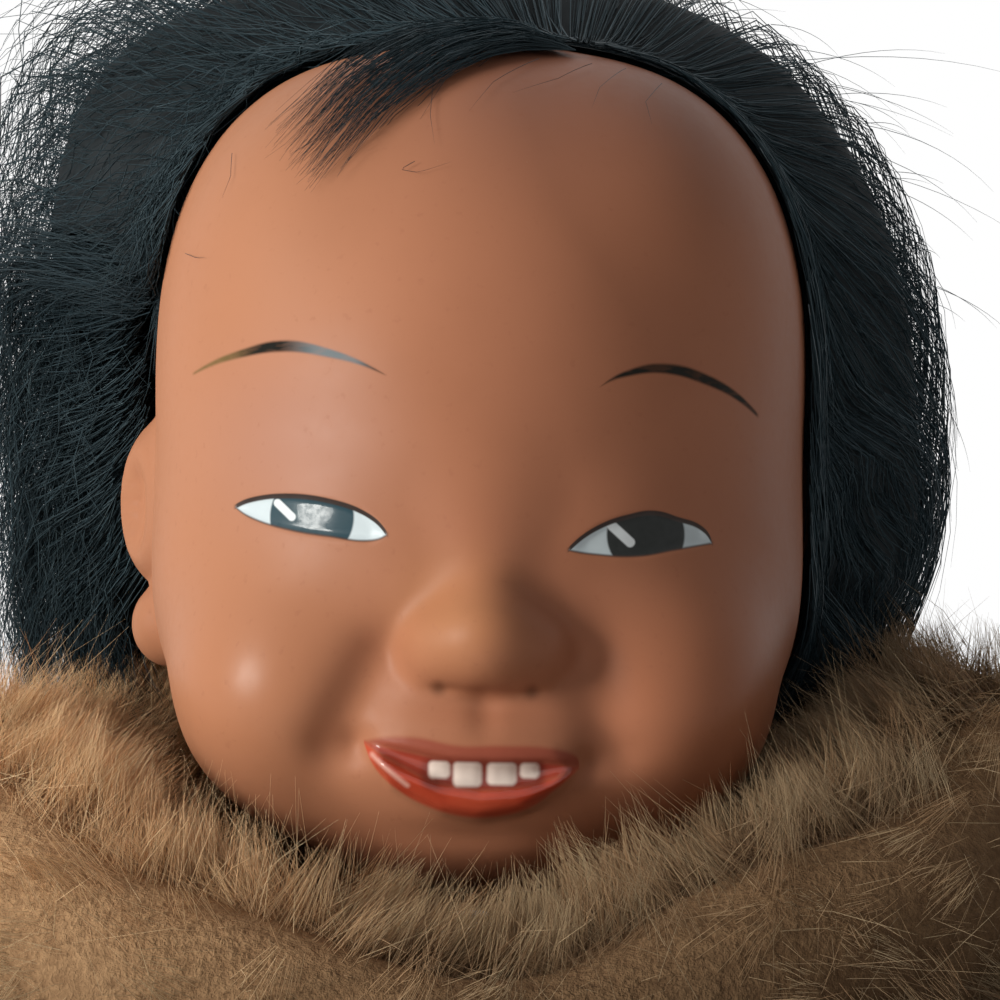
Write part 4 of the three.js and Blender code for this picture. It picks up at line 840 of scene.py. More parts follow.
def flyaway_strands(count=44, steps=9):
    """Loose hairs that leave the crown towards the doll's left and hang clear of the rest."""
    angle = 1.25 - rng.uniform(0, 1, count) ** 1.6 * 1.0
    root = unit(np.column_stack([np.cos(angle), rng.uniform(-0.25, 0.45, count), np.sin(angle)]))
    root = root * (hair_at(root) * 0.97)[:, None]
    out = unit(root)
    down = np.column_stack([np.sin(angle), np.zeros(count), -np.cos(angle)]) + rng.normal(0, 0.25, (count, 3))
    long = rng.uniform(7, 20, (count, 1, 1)) * (0.5 + 0.5 * step(np.abs(angle - 0.95), 0.35, 0.1))[:, None, None]
    t = np.linspace(0, 1, steps)[None, :, None]
    return root[:, None] + (out[:, None] * 0.32 * (2 * t - t ** 2) + down[:, None] * t) * long


def hair_piece(name, paths, radius, tone, *nodes):
    """Strands in the head's frame as a piece of the hair."""
    mesh = strand_mesh(name, paths + np.array([0, 0, EYES]), radius, tone)
    piece(name, mesh, BLACK_HAIR, "head", "hair", *nodes)


def make_hair():
    piece("hair_base", make_hair_base(), hair_base_material(), "head", "hair",
          "wig_cap", "hair_crown", "hair_left", "hair_right", "hair_back")
    paths = hair_strands(11000)
    middle = paths[:, -3]
    crown, left, right = middle[:, 2] > 34, middle[:, 0] > 12, middle[:, 0] < -12
    ahead = middle[:, 1] < 18
    for name, chosen in (
        ("hair_crown_strands", crown),
        ("hair_left_front_strands", ~crown & left & ahead),
        ("hair_left_rear_strands", ~crown & left & ~ahead),
        ("hair_right_front_strands", ~crown & right & ahead),
        ("hair_right_rear_strands", ~crown & right & ~ahead),
        ("hair_back_strands", ~crown & ~left & ~right),
    ):
        some = paths[chosen]
        hair_piece(name, some, rng.uniform(0.055, 0.12, len(some)), rng.uniform(0, 1, len(some)))
    lock = fringe_strands()
    hair_piece("fringe", lock, rng.uniform(0.05, 0.09, len(lock)), rng.uniform(0, 0.6, len(lock)), "fringe_lock")
    edge = hairline_strands()
    hair_piece("hairline", edge, rng.uniform(0.05, 0.1, len(edge)), rng.uniform(0.1, 1, len(edge)))
    stray = stray_strands()
    hair_piece("stray_hairs", stray, np.full(len(stray), 0.04), np.full(len(stray), 0.4))
    loose = flyaway_strands()
    hair_piece("flyaway_hairs", loose, np.full(len(loose), 0.045), rng.uniform(0, 1, len(loose)))


make_hair()

# Fur: tufts of hairs over a pelt

def fur_material(name, painted_shade):
    material, shader, n = new_material(name, Roughness=0.62, Specular_IOR_Level=0.25)
    tone = n.attribute("tone")
    tip = n.attribute("tip")
    fur = n.effect(FUR_TINT_AND_SHADE, Place=n.place(), Tone=tone, Tip=tip, Darkest=painted_shade)
    n.put(shader.inputs["Base Color"], fur["Colour"])
    return material


def pelt_material(name, painted_shade):
    material, shader, n = new_material(name, Roughness=0.9, Specular_IOR_Level=0.1)
    where = n.place()
    cloud = n.noise(900.0, 4.0, where, 0.7)
    fur = n.effect(FUR_TINT_AND_SHADE, Place=where, Tone=n.ramp(cloud, 0.3, 0.7), Tip=0.0, Darkest=painted_shade)
    n.put(shader.inputs["Base Color"], fur["Colour"])
    n.relief(shader, cloud, 0.9, 0.001)
    return material


# How dark the ruff's painted shade gets, on the doll's left and low down
RUFF_PAINTED_SHADE = 0.42
TRIM_FURS = fur_material("trim_fur", 1.0), pelt_material("trim_pelt", 1.0)
RUFF_FURS = fur_material("ruff_fur", RUFF_PAINTED_SHADE), pelt_material("ruff_pelt", RUFF_PAINTED_SHADE)


def fur_strands(surface, tufts, hairs, length, lie, radius, steps, spread_of_psi, sunk, loose, pale):
    """Hairs in tufts on a ring surface(theta, psi) -> points; lie is the way the fur is combed."""
    theta = rng.uniform(0, 2 * np.pi, tufts * 4)
    psi = rng.uniform(*spread_of_psi, tufts * 4)
    foot = surface(theta, psi)
    a = surface(theta + 1e-3, psi) - foot
    b = surface(theta, psi + 1e-3) - foot
    area = np.linalg.norm(np.cross(a, b), axis=1)
    chosen = rng.choice(tufts * 4, tufts, replace=False, p=area / area.sum())
    theta, psi, foot, a, b = (v[chosen] for v in (theta, psi, foot, a, b))
    normal = unit(np.cross(a, b))
    inward = np.einsum("ij,ij->i", normal, foot - surface(theta, psi + np.pi)) < 0
    normal[inward] *= -1
    around = unit(a)
    way = unit(0.47 * normal + lie(theta, psi, normal, around) + rng.normal(0, loose, (tufts, 3)))
    length = length(theta, psi)
    long = length * rng.uniform(0.7, 1.15, tufts)
    who = np.repeat(np.arange(tufts), hairs)
    count = len(who)
    size = length[who][:, None]
    spread = rng.normal(0, 0.4, (count, 3)) * size
    spread -= np.einsum("ij,ij->i", spread, normal[who])[:, None] * normal[who]
    root = foot[who] + spread * 0.9 - normal[who] * sunk
    reach_out = (long[who] * rng.uniform(0.55, 1.1, count))[:, None]
    tip = foot[who] + way[who] * reach_out + spread * 0.3 + rng.normal(0, 0.05, (count, 3)) * size
    knee = root + (normal[who] * 0.7 + way[who] * 0.3) * reach_out * 0.5
    t = np.linspace(0, 1, steps)[None, :, None]
    paths = (1 - t) ** 2 * root[:, None] + 2 * t * (1 - t) * knee[:, None] + t ** 2 * tip[:, None]
    tone = np.clip(rng.normal(pale, 0.28, tufts)[who] + rng.normal(0, 0.15, count), 0, 1)
    return paths, np.full(count, radius) * rng.uniform(0.6, 1.25, count), tone


def pelt_form(surface, rows, sides):
    """The pelt under the fur: a ring turned about Z, each point then laid on the surface."""
    bm = bmesh.new()
    section = bmesh.ops.create_circle(bm, cap_ends=False, segments=sides, radius=1.0)["verts"]
    bmesh.ops.rotate(bm, verts=section, matrix=Matrix.Rotation(math.pi / 2, 3, "X"))
    bmesh.ops.translate(bm, verts=section, vec=(3, 0, 0))
    bmesh.ops.spin(bm, geom=bm.verts[:] + bm.edges[:], cent=(0, 0, 0), axis=(0, 0, 1),
                   angle=2 * math.pi, steps=rows, use_merge=True)
    at = np.array([v.co for v in bm.verts])
    theta = np.arctan2(at[:, 0], -at[:, 1])
    psi = np.arctan2(at[:, 2], np.hypot(at[:, 0], at[:, 1]) - 3)
    for vert, point in zip(bm.verts, surface(theta, psi)):
        vert.co = point
    bmesh.ops.recalc_face_normals(bm, faces=bm.faces)
    return bm


def fur_ring(name, surface, body, node, tufts, length, lie, furs=TRIM_FURS, hairs=9, parts=1, rows=96, sides=20,
             spread_of_psi=(0, 2 * math.pi), pelt=None, sunk=0.0):
    """A fur band: the pelt, its dense undercoat and the longer guard hairs, rooted sunk below the surface."""
    fur, under = furs
    piece(name + "_pelt", pelt_form(pelt or surface, rows, sides), under, body, "fur", node)
    for layer, some, each, share, radius, steps, loose, pale in (
        ("undercoat", tufts, hairs, 0.8, 0.066, 2, 0.4, 0.4),
        ("guard_hairs", tufts * hairs // 38, 4, 1.2, 0.045, 3, 0.75, 0.65),
    ):
        def layer_length(theta, psi):
            return length(theta, psi) * share

        paths, width, tone = fur_strands(surface, some, each, layer_length, lie, radius, steps,
                                         spread_of_psi, sunk, loose, pale)
        for i, chosen in enumerate(np.array_split(np.arange(len(paths)), parts)):
            label = f"{name}_{layer}_{i + 1}" if parts > 1 else f"{name}_{layer}"
            mesh = strand_mesh(label, paths[chosen], width[chosen], tone[chosen])
            piece(label, mesh, fur, body, "fur")


def combed(down, waves, shift=0.0):
    """The lie of a trim's fur: along down, swaying along the ring."""
    return lambda theta, psi, normal, around: down + around * (0.3 * np.sin(waves * theta + shift))[:, None]


def trim_length(theta, psi):
    return np.full(len(theta), 6.0)


RUFF_TUCK = 4.5


def ruff_form(theta, psi, radius, thick, tall, lean, inner):
    """A ring lowest, and nearest to the neck, in front; inner thickens the side towards the face."""
    across = np.cos(theta)
    height = 403.5 - 6 * across - 8 * across ** 2 + 3.5 * np.sin(theta) * np.abs(np.sin(theta))
    height = height - 8.4 * np.clip(across, 0, 1) ** 12 - 6 * np.clip(-across, 0, 1) ** 2
    lump = 1 + 0.05 * np.sin(5 * theta + 1.3) + 0.04 * np.sin(9 * theta + 2 * psi)
    off = thick * np.cos(psi) * lump * (1 + inner * step(-np.cos(psi), 0, 1))
    up = tall * np.sin(psi) * lump
    away = radius - RUFF_TUCK * across ** 2 + off * math.cos(lean) + up * math.sin(lean)
    z = height + up * math.cos(lean) - off * math.sin(lean)
    return np.column_stack([away * np.sin(theta), -away * np.cos(theta), z])


def under_chin(theta):
    return np.clip(np.cos(theta), 0, 1) ** 4


def ruff_sides(psi):
    """Shares of the side towards the face and of the side away from it."""
    return np.clip(-np.cos(psi), 0, 1), np.clip(np.cos(psi), 0, 1)


def ruff_surface(theta, psi):
    """Where the undercoat lies: it closes in on the face at its top, and fills the neck under the chin."""
    form = ruff_form(theta, psi, radius=57.5, thick=14.5, tall=19.0, lean=math.radians(-8),
                     inner=0.25 + 0.5 * under_chin(theta))
    form[:, 2] += 6.0 * under_chin(theta) * np.clip(-np.cos(psi), 0, 1)
    return form


def ruff_pelt(theta, psi):
    """The skin under the fur, slim enough for the face to turn and nod over it."""
    return ruff_form(theta, psi, radius=60.0, thick=11.5, tall=16.5, lean=math.radians(8),
                     inner=0.5 * under_chin(theta))


def ruff_lie(theta, psi, normal, around):
    """Combed up inside, in over the crest and down outside, with swirls along the ring."""
    swirl = 0.5 * np.sin(3 * theta + 0.7) + 0.35 * np.sin(7 * theta + 2.1)
    inside, outside = ruff_sides(psi)
    outward = np.column_stack([np.sin(theta), -np.cos(theta), np.zeros(len(theta))])
    lean = -0.55 * np.clip(np.sin(psi), 0, 1)
    rise = np.column_stack([np.zeros(len(theta)), np.zeros(len(theta)), 0.5 * inside - 0.75 * outside])
    return around * swirl[:, None] + outward * lean[:, None] + rise


def ruff_length(theta, psi):
    inside, outside = ruff_sides(psi)
    return 8.5 + 1.5 * inside * (1 - np.cos(theta)) + 1.0 * outside


fur_ring("ruff", ruff_surface, "torso", "ruff", 2800, ruff_length, ruff_lie, RUFF_FURS, hairs=38, parts=4,
         rows=128, sides=24, spread_of_psi=(math.radians(-75), math.radians(215)), pelt=ruff_pelt, sunk=4.0)

# Clothes

def hide_material(name, light, dark):
    """Brushed hide: mottled, with a short nap."""
    material, shader, n = new_material(name, Roughness=0.86, Specular_IOR_Level=0.15, Sheen_Weight=0.25)
    where = n.place()
    hide = n.effect(MOTTLING, Place=where, Scale=28.0, Detail=5.0, Roughness=0.6, Low=0.35, High=0.65,
                    Dark=dark, Light=light)
    nap = n.effect(NAP, Place=where, Scale=900.0, Colour=hide["Colour"], Dark=dark)
    n.put(shader.inputs["Base Color"], nap["Colour"])
    n.relief(shader, nap["Height"], 0.35, 0.0004)
    return material


def cloth_material():
    """Thick dark woollen cloth with a visible weave."""
    material, shader, n = new_material("wool_cloth", Roughness=0.92, Specular_IOR_Level=0.1, Sheen_Weight=0.3)
    where = n.place()
    split = n.add("ShaderNodeSeparateXYZ", {"Vector": where})
    down = n.math("MULTIPLY", split.outputs["Z"], 5200.0)
    round_ = n.math("ARCTAN2", split.outputs["Y"], n.math("SUBTRACT", n.math("ABSOLUTE", split.outputs["X"]), 0.026))
    weave = n.effect(WEAVE, Along=down, Across=n.math("MULTIPLY", round_, 120.0))["Height"]
    colour = n.mix(weave, (0.02, 0.024, 0.032, 1), (0.05, 0.056, 0.07, 1))
    n.put(shader.inputs["Base Color"], n.mix(n.noise(60.0, 3.0, where), colour, (0.03, 0.033, 0.042, 1)))
    n.relief(shader, weave, 0.4, 0.0003)
    return material


def braid_material():
    """A woven band: red ground, pale zigzag between two dark edges, on the band's own UV."""
    material, shader, n = new_material("woven_braid", Roughness=0.8, Specular_IOR_Level=0.2)
    uv = n.add("ShaderNodeUVMap", uv_map="band").outputs["UV"]
    split = n.add("ShaderNodeSeparateXYZ", {"Vector": uv})
    u, v = split.outputs["X"], split.outputs["Y"]
    zig = n.math("PINGPONG", u, 0.5)
    off = n.math("ABSOLUTE", n.math("SUBTRACT", v, n.ramp(zig, 0.0, 0.5, 0.28, 0.72, smooth=False)))
    colour = n.mix(n.ramp(off, 0.08, 0.11, 1.0, 0.0), (0.30, 0.022, 0.016, 1), (0.70, 0.64, 0.52, 1))
    edge = n.ramp(n.math("ABSOLUTE", n.math("SUBTRACT", v, 0.5)), 0.37, 0.39)
    colour = n.mix(edge, colour, (0.02, 0.022, 0.03, 1))
    weave = n.effect(WEAVE, Along=n.math("MULTIPLY", u, 60.0), Across=n.math("MULTIPLY", v, 70.0))["Height"]
    n.put(shader.inputs["Base Color"], n.mix(n.math("MULTIPLY", weave, 0.25), colour, (0.02, 0.015, 0.012, 1)))
    n.relief(shader, weave, 0.5, 0.0003)
    return material


HIDE = hide_material("brushed_hide", (0.36, 0.20, 0.10, 1), (0.25, 0.135, 0.066, 1))
MITTEN_HIDE = hide_material("mitten_hide", (0.27, 0.145, 0.072, 1), (0.19, 0.10, 0.05, 1))
BOOT_HIDE = hide_material("boot_hide", (0.50, 0.36, 0.22, 1), (0.38, 0.26, 0.15, 1))
SOLE_HIDE = hide_material("sole_hide", (0.20, 0.12, 0.07, 1), (0.13, 0.08, 0.046, 1))
THONG = hide_material("thong", (0.16, 0.085, 0.045, 1), (0.10, 0.055, 0.03, 1))
CLOTH = cloth_material()
BRAID = braid_material()


def curve_through(points, count):
    """Points evenly along a smooth line through the given ones."""
    p = np.array(points, float)
    p = np.vstack([2 * p[0] - p[1], p, 2 * p[-1] - p[-2]])
    t = np.linspace(0, len(points) - 1, count)
    i = np.minimum(t.astype(int), len(points) - 2)
    f = (t - i)[:, None]
    a, b, c, d = p[i], p[i + 1], p[i + 2], p[i + 3]
    return 0.5 * (2 * b + (c - a) * f + (2 * a - 5 * b + 4 * c - d) * f ** 2 + (3 * b - a - 3 * c + d) * f ** 3)


def turned(profile, sides):
    """A bmesh turned about Z from (radius, height) pairs."""
    bm = bmesh.new()
    verts = [bm.verts.new((r, 0, z)) for r, z in profile]
    edges = [bm.edges.new(pair) for pair in zip(verts, verts[1:])]
    bmesh.ops.spin(bm, geom=verts + edges, cent=(0, 0, 0), axis=(0, 0, 1),
                   angle=2 * math.pi, steps=sides, use_merge=True)
    bmesh.ops.remove_doubles(bm, verts=bm.verts, dist=0.001)
    bmesh.ops.recalc_face_normals(bm, faces=bm.faces)
    return bm


def melted(bm, grain, smooth):
    """The crossing shells of a bmesh joined into one even skin."""
    mesh = bpy.data.meshes.new("melt")
    bm.to_mesh(mesh)
    obj = bpy.data.objects.new("melt", mesh)
    bpy.context.collection.objects.link(obj)
    remesh = obj.modifiers.new("melt", "REMESH")
    remesh.mode = "VOXEL"
    remesh.voxel_size = grain
    depsgraph = bpy.context.evaluated_depsgraph_get()
    done = bpy.data.meshes.new_from_object(obj.evaluated_get(depsgraph))
    bm.clear()
    bm.from_mesh(done)
    bpy.data.objects.remove(obj)
    bpy.data.meshes.remove(mesh)
    bpy.data.meshes.remove(done)
    for _ in range(smooth):
        bmesh.ops.smooth_vert(bm, verts=bm.verts, factor=0.5, use_axis_x=True, use_axis_y=True, use_axis_z=True)
    bm.normal_update()
    return bm


def fold(bm, depth):
    """Moves every point along its normal by depth(co), in millimetres."""
    bm.normal_update()
    shift = [depth(v.co) for v in bm.verts]
    for vert, by in zip(bm.verts, shift):
        vert.co += vert.normal * by
    return bm


def clamped(value):
    return max(0.0, min(1.0, value))


def hill(value, middle, width):
    """1 at the middle, falling smoothly to 0 on both sides."""
    return math.exp(-((value - middle) / width) ** 2)


def soft_noise(co, size, seed):
    return noise.noise(Vector(co) / size + Vector((seed, seed * 1.7, -seed)))


def joined(*shapes):
    """Several bmeshes in one."""
    whole = bmesh.new()
    for shape in shapes:
        mesh = bpy.data.meshes.new("part")
        shape.to_mesh(mesh)
        shape.free()
        whole.from_mesh(mesh)
        bpy.data.meshes.remove(mesh)
    return whole


def ball(centre, radii, turn=None):
    """An ellipsoid."""
    bm = bmesh.new()
    bmesh.ops.create_icosphere(bm, subdivisions=4, radius=1.0)
    bmesh.ops.scale(bm, vec=radii, verts=bm.verts)
    if turn is not None:
        bmesh.ops.rotate(bm, verts=bm.verts, matrix=turn)
    bmesh.ops.translate(bm, vec=centre, verts=bm.verts)
    return bm


SHOULDER = 345


def arm_place(side):
    """From an arm's own frame, hanging along -Z from its shoulder, to the doll's frame."""
    return Matrix.Translation((side * 50, 0, SHOULDER)) @ Matrix.Rotation(math.radians(-22 * side), 4, "Y")


def flatness(z):
    """The body is flatter than it is wide below the shoulders."""
    return 0.8 + 0.2 * float(step(np.array(z), SHOULDER, 376))


HEM = 248.0
LEG_ASIDE = 28
ARMHOLE = 42.5


def sleeve_form(side):
    """A sleeve as a solid, from the dome over the shoulder down to the cuff."""
    line = curve_through([(0, 23.6), (14, 19.5), (22, 9), (23.6, -6), (22.4, -30), (21.6, -58), (20.8, -80),
                          (20.2, -98), (20.0, -104)], 46)
    bm = turned([*line, (0, -104)], 64)

    def folds(co):
        reach_down = -co.z
        elbow = hill(reach_down, 55, 20)
        angle = math.atan2(co.y, co.x * side)
        ring = 0.9 * elbow * math.sin(reach_down / 3.4 + 0.9 * math.sin(angle * 2)) * (0.6 + 0.4 * math.cos(angle))
        gather = 0.5 * clamped((reach_down - 84) / 16) * math.sin(11 * angle)
        return ring + gather + 0.7 * soft_noise(co, 15.0, 4.0 + side)

    fold(bm, folds)
    bmesh.ops.transform(bm, matrix=arm_place(side), verts=bm.verts)
    return bm


def cut_flat(bm, at, away):
    """Cuts a bmesh by a plane, drops what lies on the away side and closes the cut."""
    cut = bmesh.ops.bisect_plane(bm, geom=bm.verts[:] + bm.edges[:] + bm.faces[:], plane_co=at, plane_no=away,
                                 clear_outer=True)
    rim = [e for e in cut["geom_cut"] if isinstance(e, bmesh.types.BMEdge)]
    bmesh.ops.holes_fill(bm, edges=rim, sides=0)


def make_parka():
    outline = [(53, HEM), (51.5, 262), (46, 278), (42.6, 293), (41.6, 312), (42.3, 330), (42.0, 345),
               (34.5, 361), (24.8, 377)]
    line = curve_through(outline, 40)
    body = turned([(0, HEM), *line, (0, 377)], 96)
    for v in body.verts:
        v.co.y *= flatness(v.co.z)
    yoke = turned([(0, -42), (21.5, -42), (22.8, -36), (22.8, 36), (21.5, 42), (0, 42)], 64)
    bmesh.ops.rotate(yoke, verts=yoke.verts, matrix=Matrix.Rotation(math.pi / 2, 3, "Y"))
    bmesh.ops.translate(yoke, vec=(0, 0, SHOULDER), verts=yoke.verts)
    stubs = []
    for side in (1, -1):
        stub = sleeve_form(side)
        cut_flat(stub, (side * ARMHOLE, 0, 0), (side, 0, 0))
        stubs.append(stub)
    bm = melted(joined(body, yoke, *stubs), 1.4, 5)

    def folds(co):
        angle = math.atan2(co.x, -co.y)
        flare = clamped((300 - co.z) / 45)
        waist = hill(co.z, 312, 26)
        drape = 1.1 * flare * math.sin(7 * angle + 1.5 * math.sin(2 * angle))
        gather = 0.8 * waist * soft_noise((co.x, co.y, co.z * 2.2), 16.0, 3.0)
        seam = -0.7 * hill(co.x, 0, 0.9) * (1 if co.y < 0 else 0.6)
        return drape + gather + seam + 0.5 * soft_noise(co, 24.0, 8.0)

    fold(bm, folds)
    ends = [f for f in bm.faces if f.calc_center_median().z < HEM + 1.2 and f.normal.z < -0.5]
    bmesh.ops.delete(bm, geom=ends, context="FACES")
    for shrink, lift in ((0.94, 0.5), (0.93, 9.0)):
        rim = [e for e in bm.edges if e.is_boundary]
        lining = bmesh.ops.extrude_edge_only(bm, edges=rim)["geom"]
        verts = [v for v in lining if isinstance(v, bmesh.types.BMVert)]
        bmesh.ops.scale(bm, vec=(shrink, shrink, 1), verts=verts)
        bmesh.ops.translate(bm, vec=(0, 0, lift), verts=verts)
    bmesh.ops.recalc_face_normals(bm, faces=bm.faces)
    piece("parka_body", bm, HIDE, "torso", "hide", "parka")


def braid_band(name, profile, repeats, body, node, flat=None, place=None):
    """A woven band round a garment, with its pattern laid out along it."""
    bm = turned(profile, 128)
    band = bm.loops.layers.uv.new("band")
    zs = [z for _, z in profile]
    for face in bm.faces:
        middle = face.calc_center_median()
        home = math.atan2(middle.x, -middle.y)
        for loop in face.loops:
            co = loop.vert.co
            angle = math.atan2(co.x, -co.y)
            angle += 2 * math.pi * round((home - angle) / (2 * math.pi))
            height = (co.z - min(zs)) / (max(zs) - min(zs))
            loop[band].uv = (angle / (2 * math.pi) * repeats + repeats, height)
    if flat:
        bmesh.ops.scale(bm, vec=(1, flat, 1), verts=bm.verts)
    if place:
        bmesh.ops.transform(bm, matrix=place, verts=bm.verts)
    piece(name, bm, BRAID, body, "braid", node)


def make_hem():
    line = curve_through([(53.6, 251), (54.9, 252), (54.7, 255), (54.3, 258), (52.9, 259)], 12)
    braid_band("hem_band", line, 30, "torso", "hem_braid", flat=0.8)

    def hem_surface(theta, psi):
        radius = 51.3 + 4.6 * np.cos(psi) + 0.5 * np.sin(7 * theta)
        z = 241 + 7.6 * np.sin(psi)
        return np.column_stack([radius * np.sin(theta), -radius * 0.8 * np.cos(theta), z])

    lie = combed(np.array([0, 0, -0.9]), 5)
    fur_ring("hem", hem_surface, "torso", "hem_trim", 800, trim_length, lie, rows=120, sides=14)


def make_hood():
    """The hood lies back on the shoulders, its edge turned up under the ruff."""
    bm = turned(curve_through([(23.5, 366), (30, 369), (40, 372), (50, 380), (59, 398)], 30), 96)
    for v in bm.verts:
        theta = math.atan2(v.co.x, -v.co.y)
        share = (math.hypot(v.co.x, v.co.y) - 23.5) / 35.5
        edge = 395.5 - 10 * math.cos(theta) - 13.5 * math.cos(theta) ** 2
        v.co.x *= 1 - 0.1 * share * math.cos(theta) ** 2
        v.co.y *= 1 - 0.1 * share * math.cos(theta) ** 2
        v.co.z = 366 + (edge - 366) * share ** 2.2 + 1.0 * share * math.sin(9 * theta)
    bmesh.ops.solidify(bm, geom=bm.faces[:], thickness=3.0)
    pouch = ball((0, 49, 367), (36, 16.5, 37))
    bm = melted(joined(bm, pouch), 1.5, 5)

    def folds(co):
        back = clamped((co.y - 20) / 30)
        wave = math.sin(co.x / 6.5 + 1.2 * soft_noise(co, 18.0, 2.0))
        sag = 1.4 * back * wave * clamped((385 - co.z) / 30)
        seam = -0.8 * hill(co.x, 0, 1.0) * back
        return sag + seam + 0.8 * soft_noise(co, 14.0, 5.0)

    fold(bm, folds)
    piece("hood_pouch", bm, HIDE, "torso", "hide", "hood")


def make_arm(side):
    name = "left" if side > 0 else "right"
    body = name + "_arm"
    place = arm_place(side)
    bm = sleeve_form(side)
    cut_flat(bm, (side * (ARMHOLE + 0.8), 0, 0), (-side, 0, 0))
    piece(name + "_sleeve_hide", bm, HIDE, body, "hide", name + "_sleeve")

    line = curve_through([(20.8, -98), (22.2, -97.2), (22.4, -94), (22.3, -90.8), (21.0, -90)], 10)
    braid_band(name + "_cuff_band", line, 12, body, name + "_cuff_braid", place=place)

    def cuff_surface(theta, psi):
        radius = 17.2 + 5.6 * np.cos(psi)
        local = np.column_stack([radius * np.sin(theta), -radius * np.cos(theta), -113.0 + 9.6 * np.sin(psi)])
        return local @ np.array(place.to_3x3()).T + np.array(place.translation)

    down = np.array(place.to_3x3()) @ np.array([0, 0, -1.0])
    lie = combed(down * 0.8, 4, side)
    fur_ring(name + "_cuff", cuff_surface, body, name + "_cuff", 380, trim_length, lie, rows=56, sides=14)

    line = curve_through([(0, -118), (9.6, -119), (11.5, -128), (13.2, -140), (12.4, -152), (8.0, -161),
                          (0, -165)], 30)
    hand = turned(line, 48)
    bmesh.ops.scale(hand, vec=(0.76, 1.1, 1.0), verts=hand.verts)
    thumb = ball((0, -12.5, -135), (5.2, 5.6, 11.5), Matrix.Rotation(math.radians(-28), 3, "X"))
    hand = melted(joined(hand, thumb), 0.8, 6)

    def puffs(co):
        seam = 0.45 * hill(co.x, 0, 0.7)
        return seam + 0.35 * soft_noise(co, 8.0, 6.0)

    fold(hand, puffs)
    bmesh.ops.transform(hand, matrix=place, verts=hand.verts)
    piece(name + "_mitten_hide", hand, MITTEN_HIDE, body, "hide", name + "_mitten")


def ring_tube(rings, sides):
    """A tube through level ellipses (cx, cy, z, rx, ry)."""
    bm = bmesh.new()
    loops = []
    for cx, cy, z, rx, ry in rings:
        verts = bmesh.ops.create_circle(bm, cap_ends=False, segments=sides, radius=1.0)["verts"]
        bmesh.ops.scale(bm, vec=(rx, ry, 1), verts=verts)
        bmesh.ops.translate(bm, vec=(cx, cy, z), verts=verts)
        loops.append(list({e for v in verts for e in v.link_edges}))
    for low, high in zip(loops, loops[1:]):
        bmesh.ops.bridge_loops(bm, edges=low + high)
    bmesh.ops.recalc_face_normals(bm, faces=bm.faces)
    return bm


def make_seat():
    """The seat of the trousers, closed between the legs."""
    line = curve_through([(0, 192), (14, 193), (28, 197), (36.8, 206), (39.6, 217), (40.4, 232), (36.4, 262)], 40)
    bm = turned(line, 96)
    bmesh.ops.scale(bm, vec=(1, 0.77, 1), verts=bm.verts)
    fold(bm, lambda co: 0.9 * soft_noise((co.x, co.y, co.z * 2), 13.0, 1.5) - 0.5 * hill(co.x, 0, 0.8))
    bmesh.ops.solidify(bm, geom=bm.faces[:], thickness=1.2)
    piece("trouser_top", bm, CLOTH, "torso", "cloth", "trouser_seat")


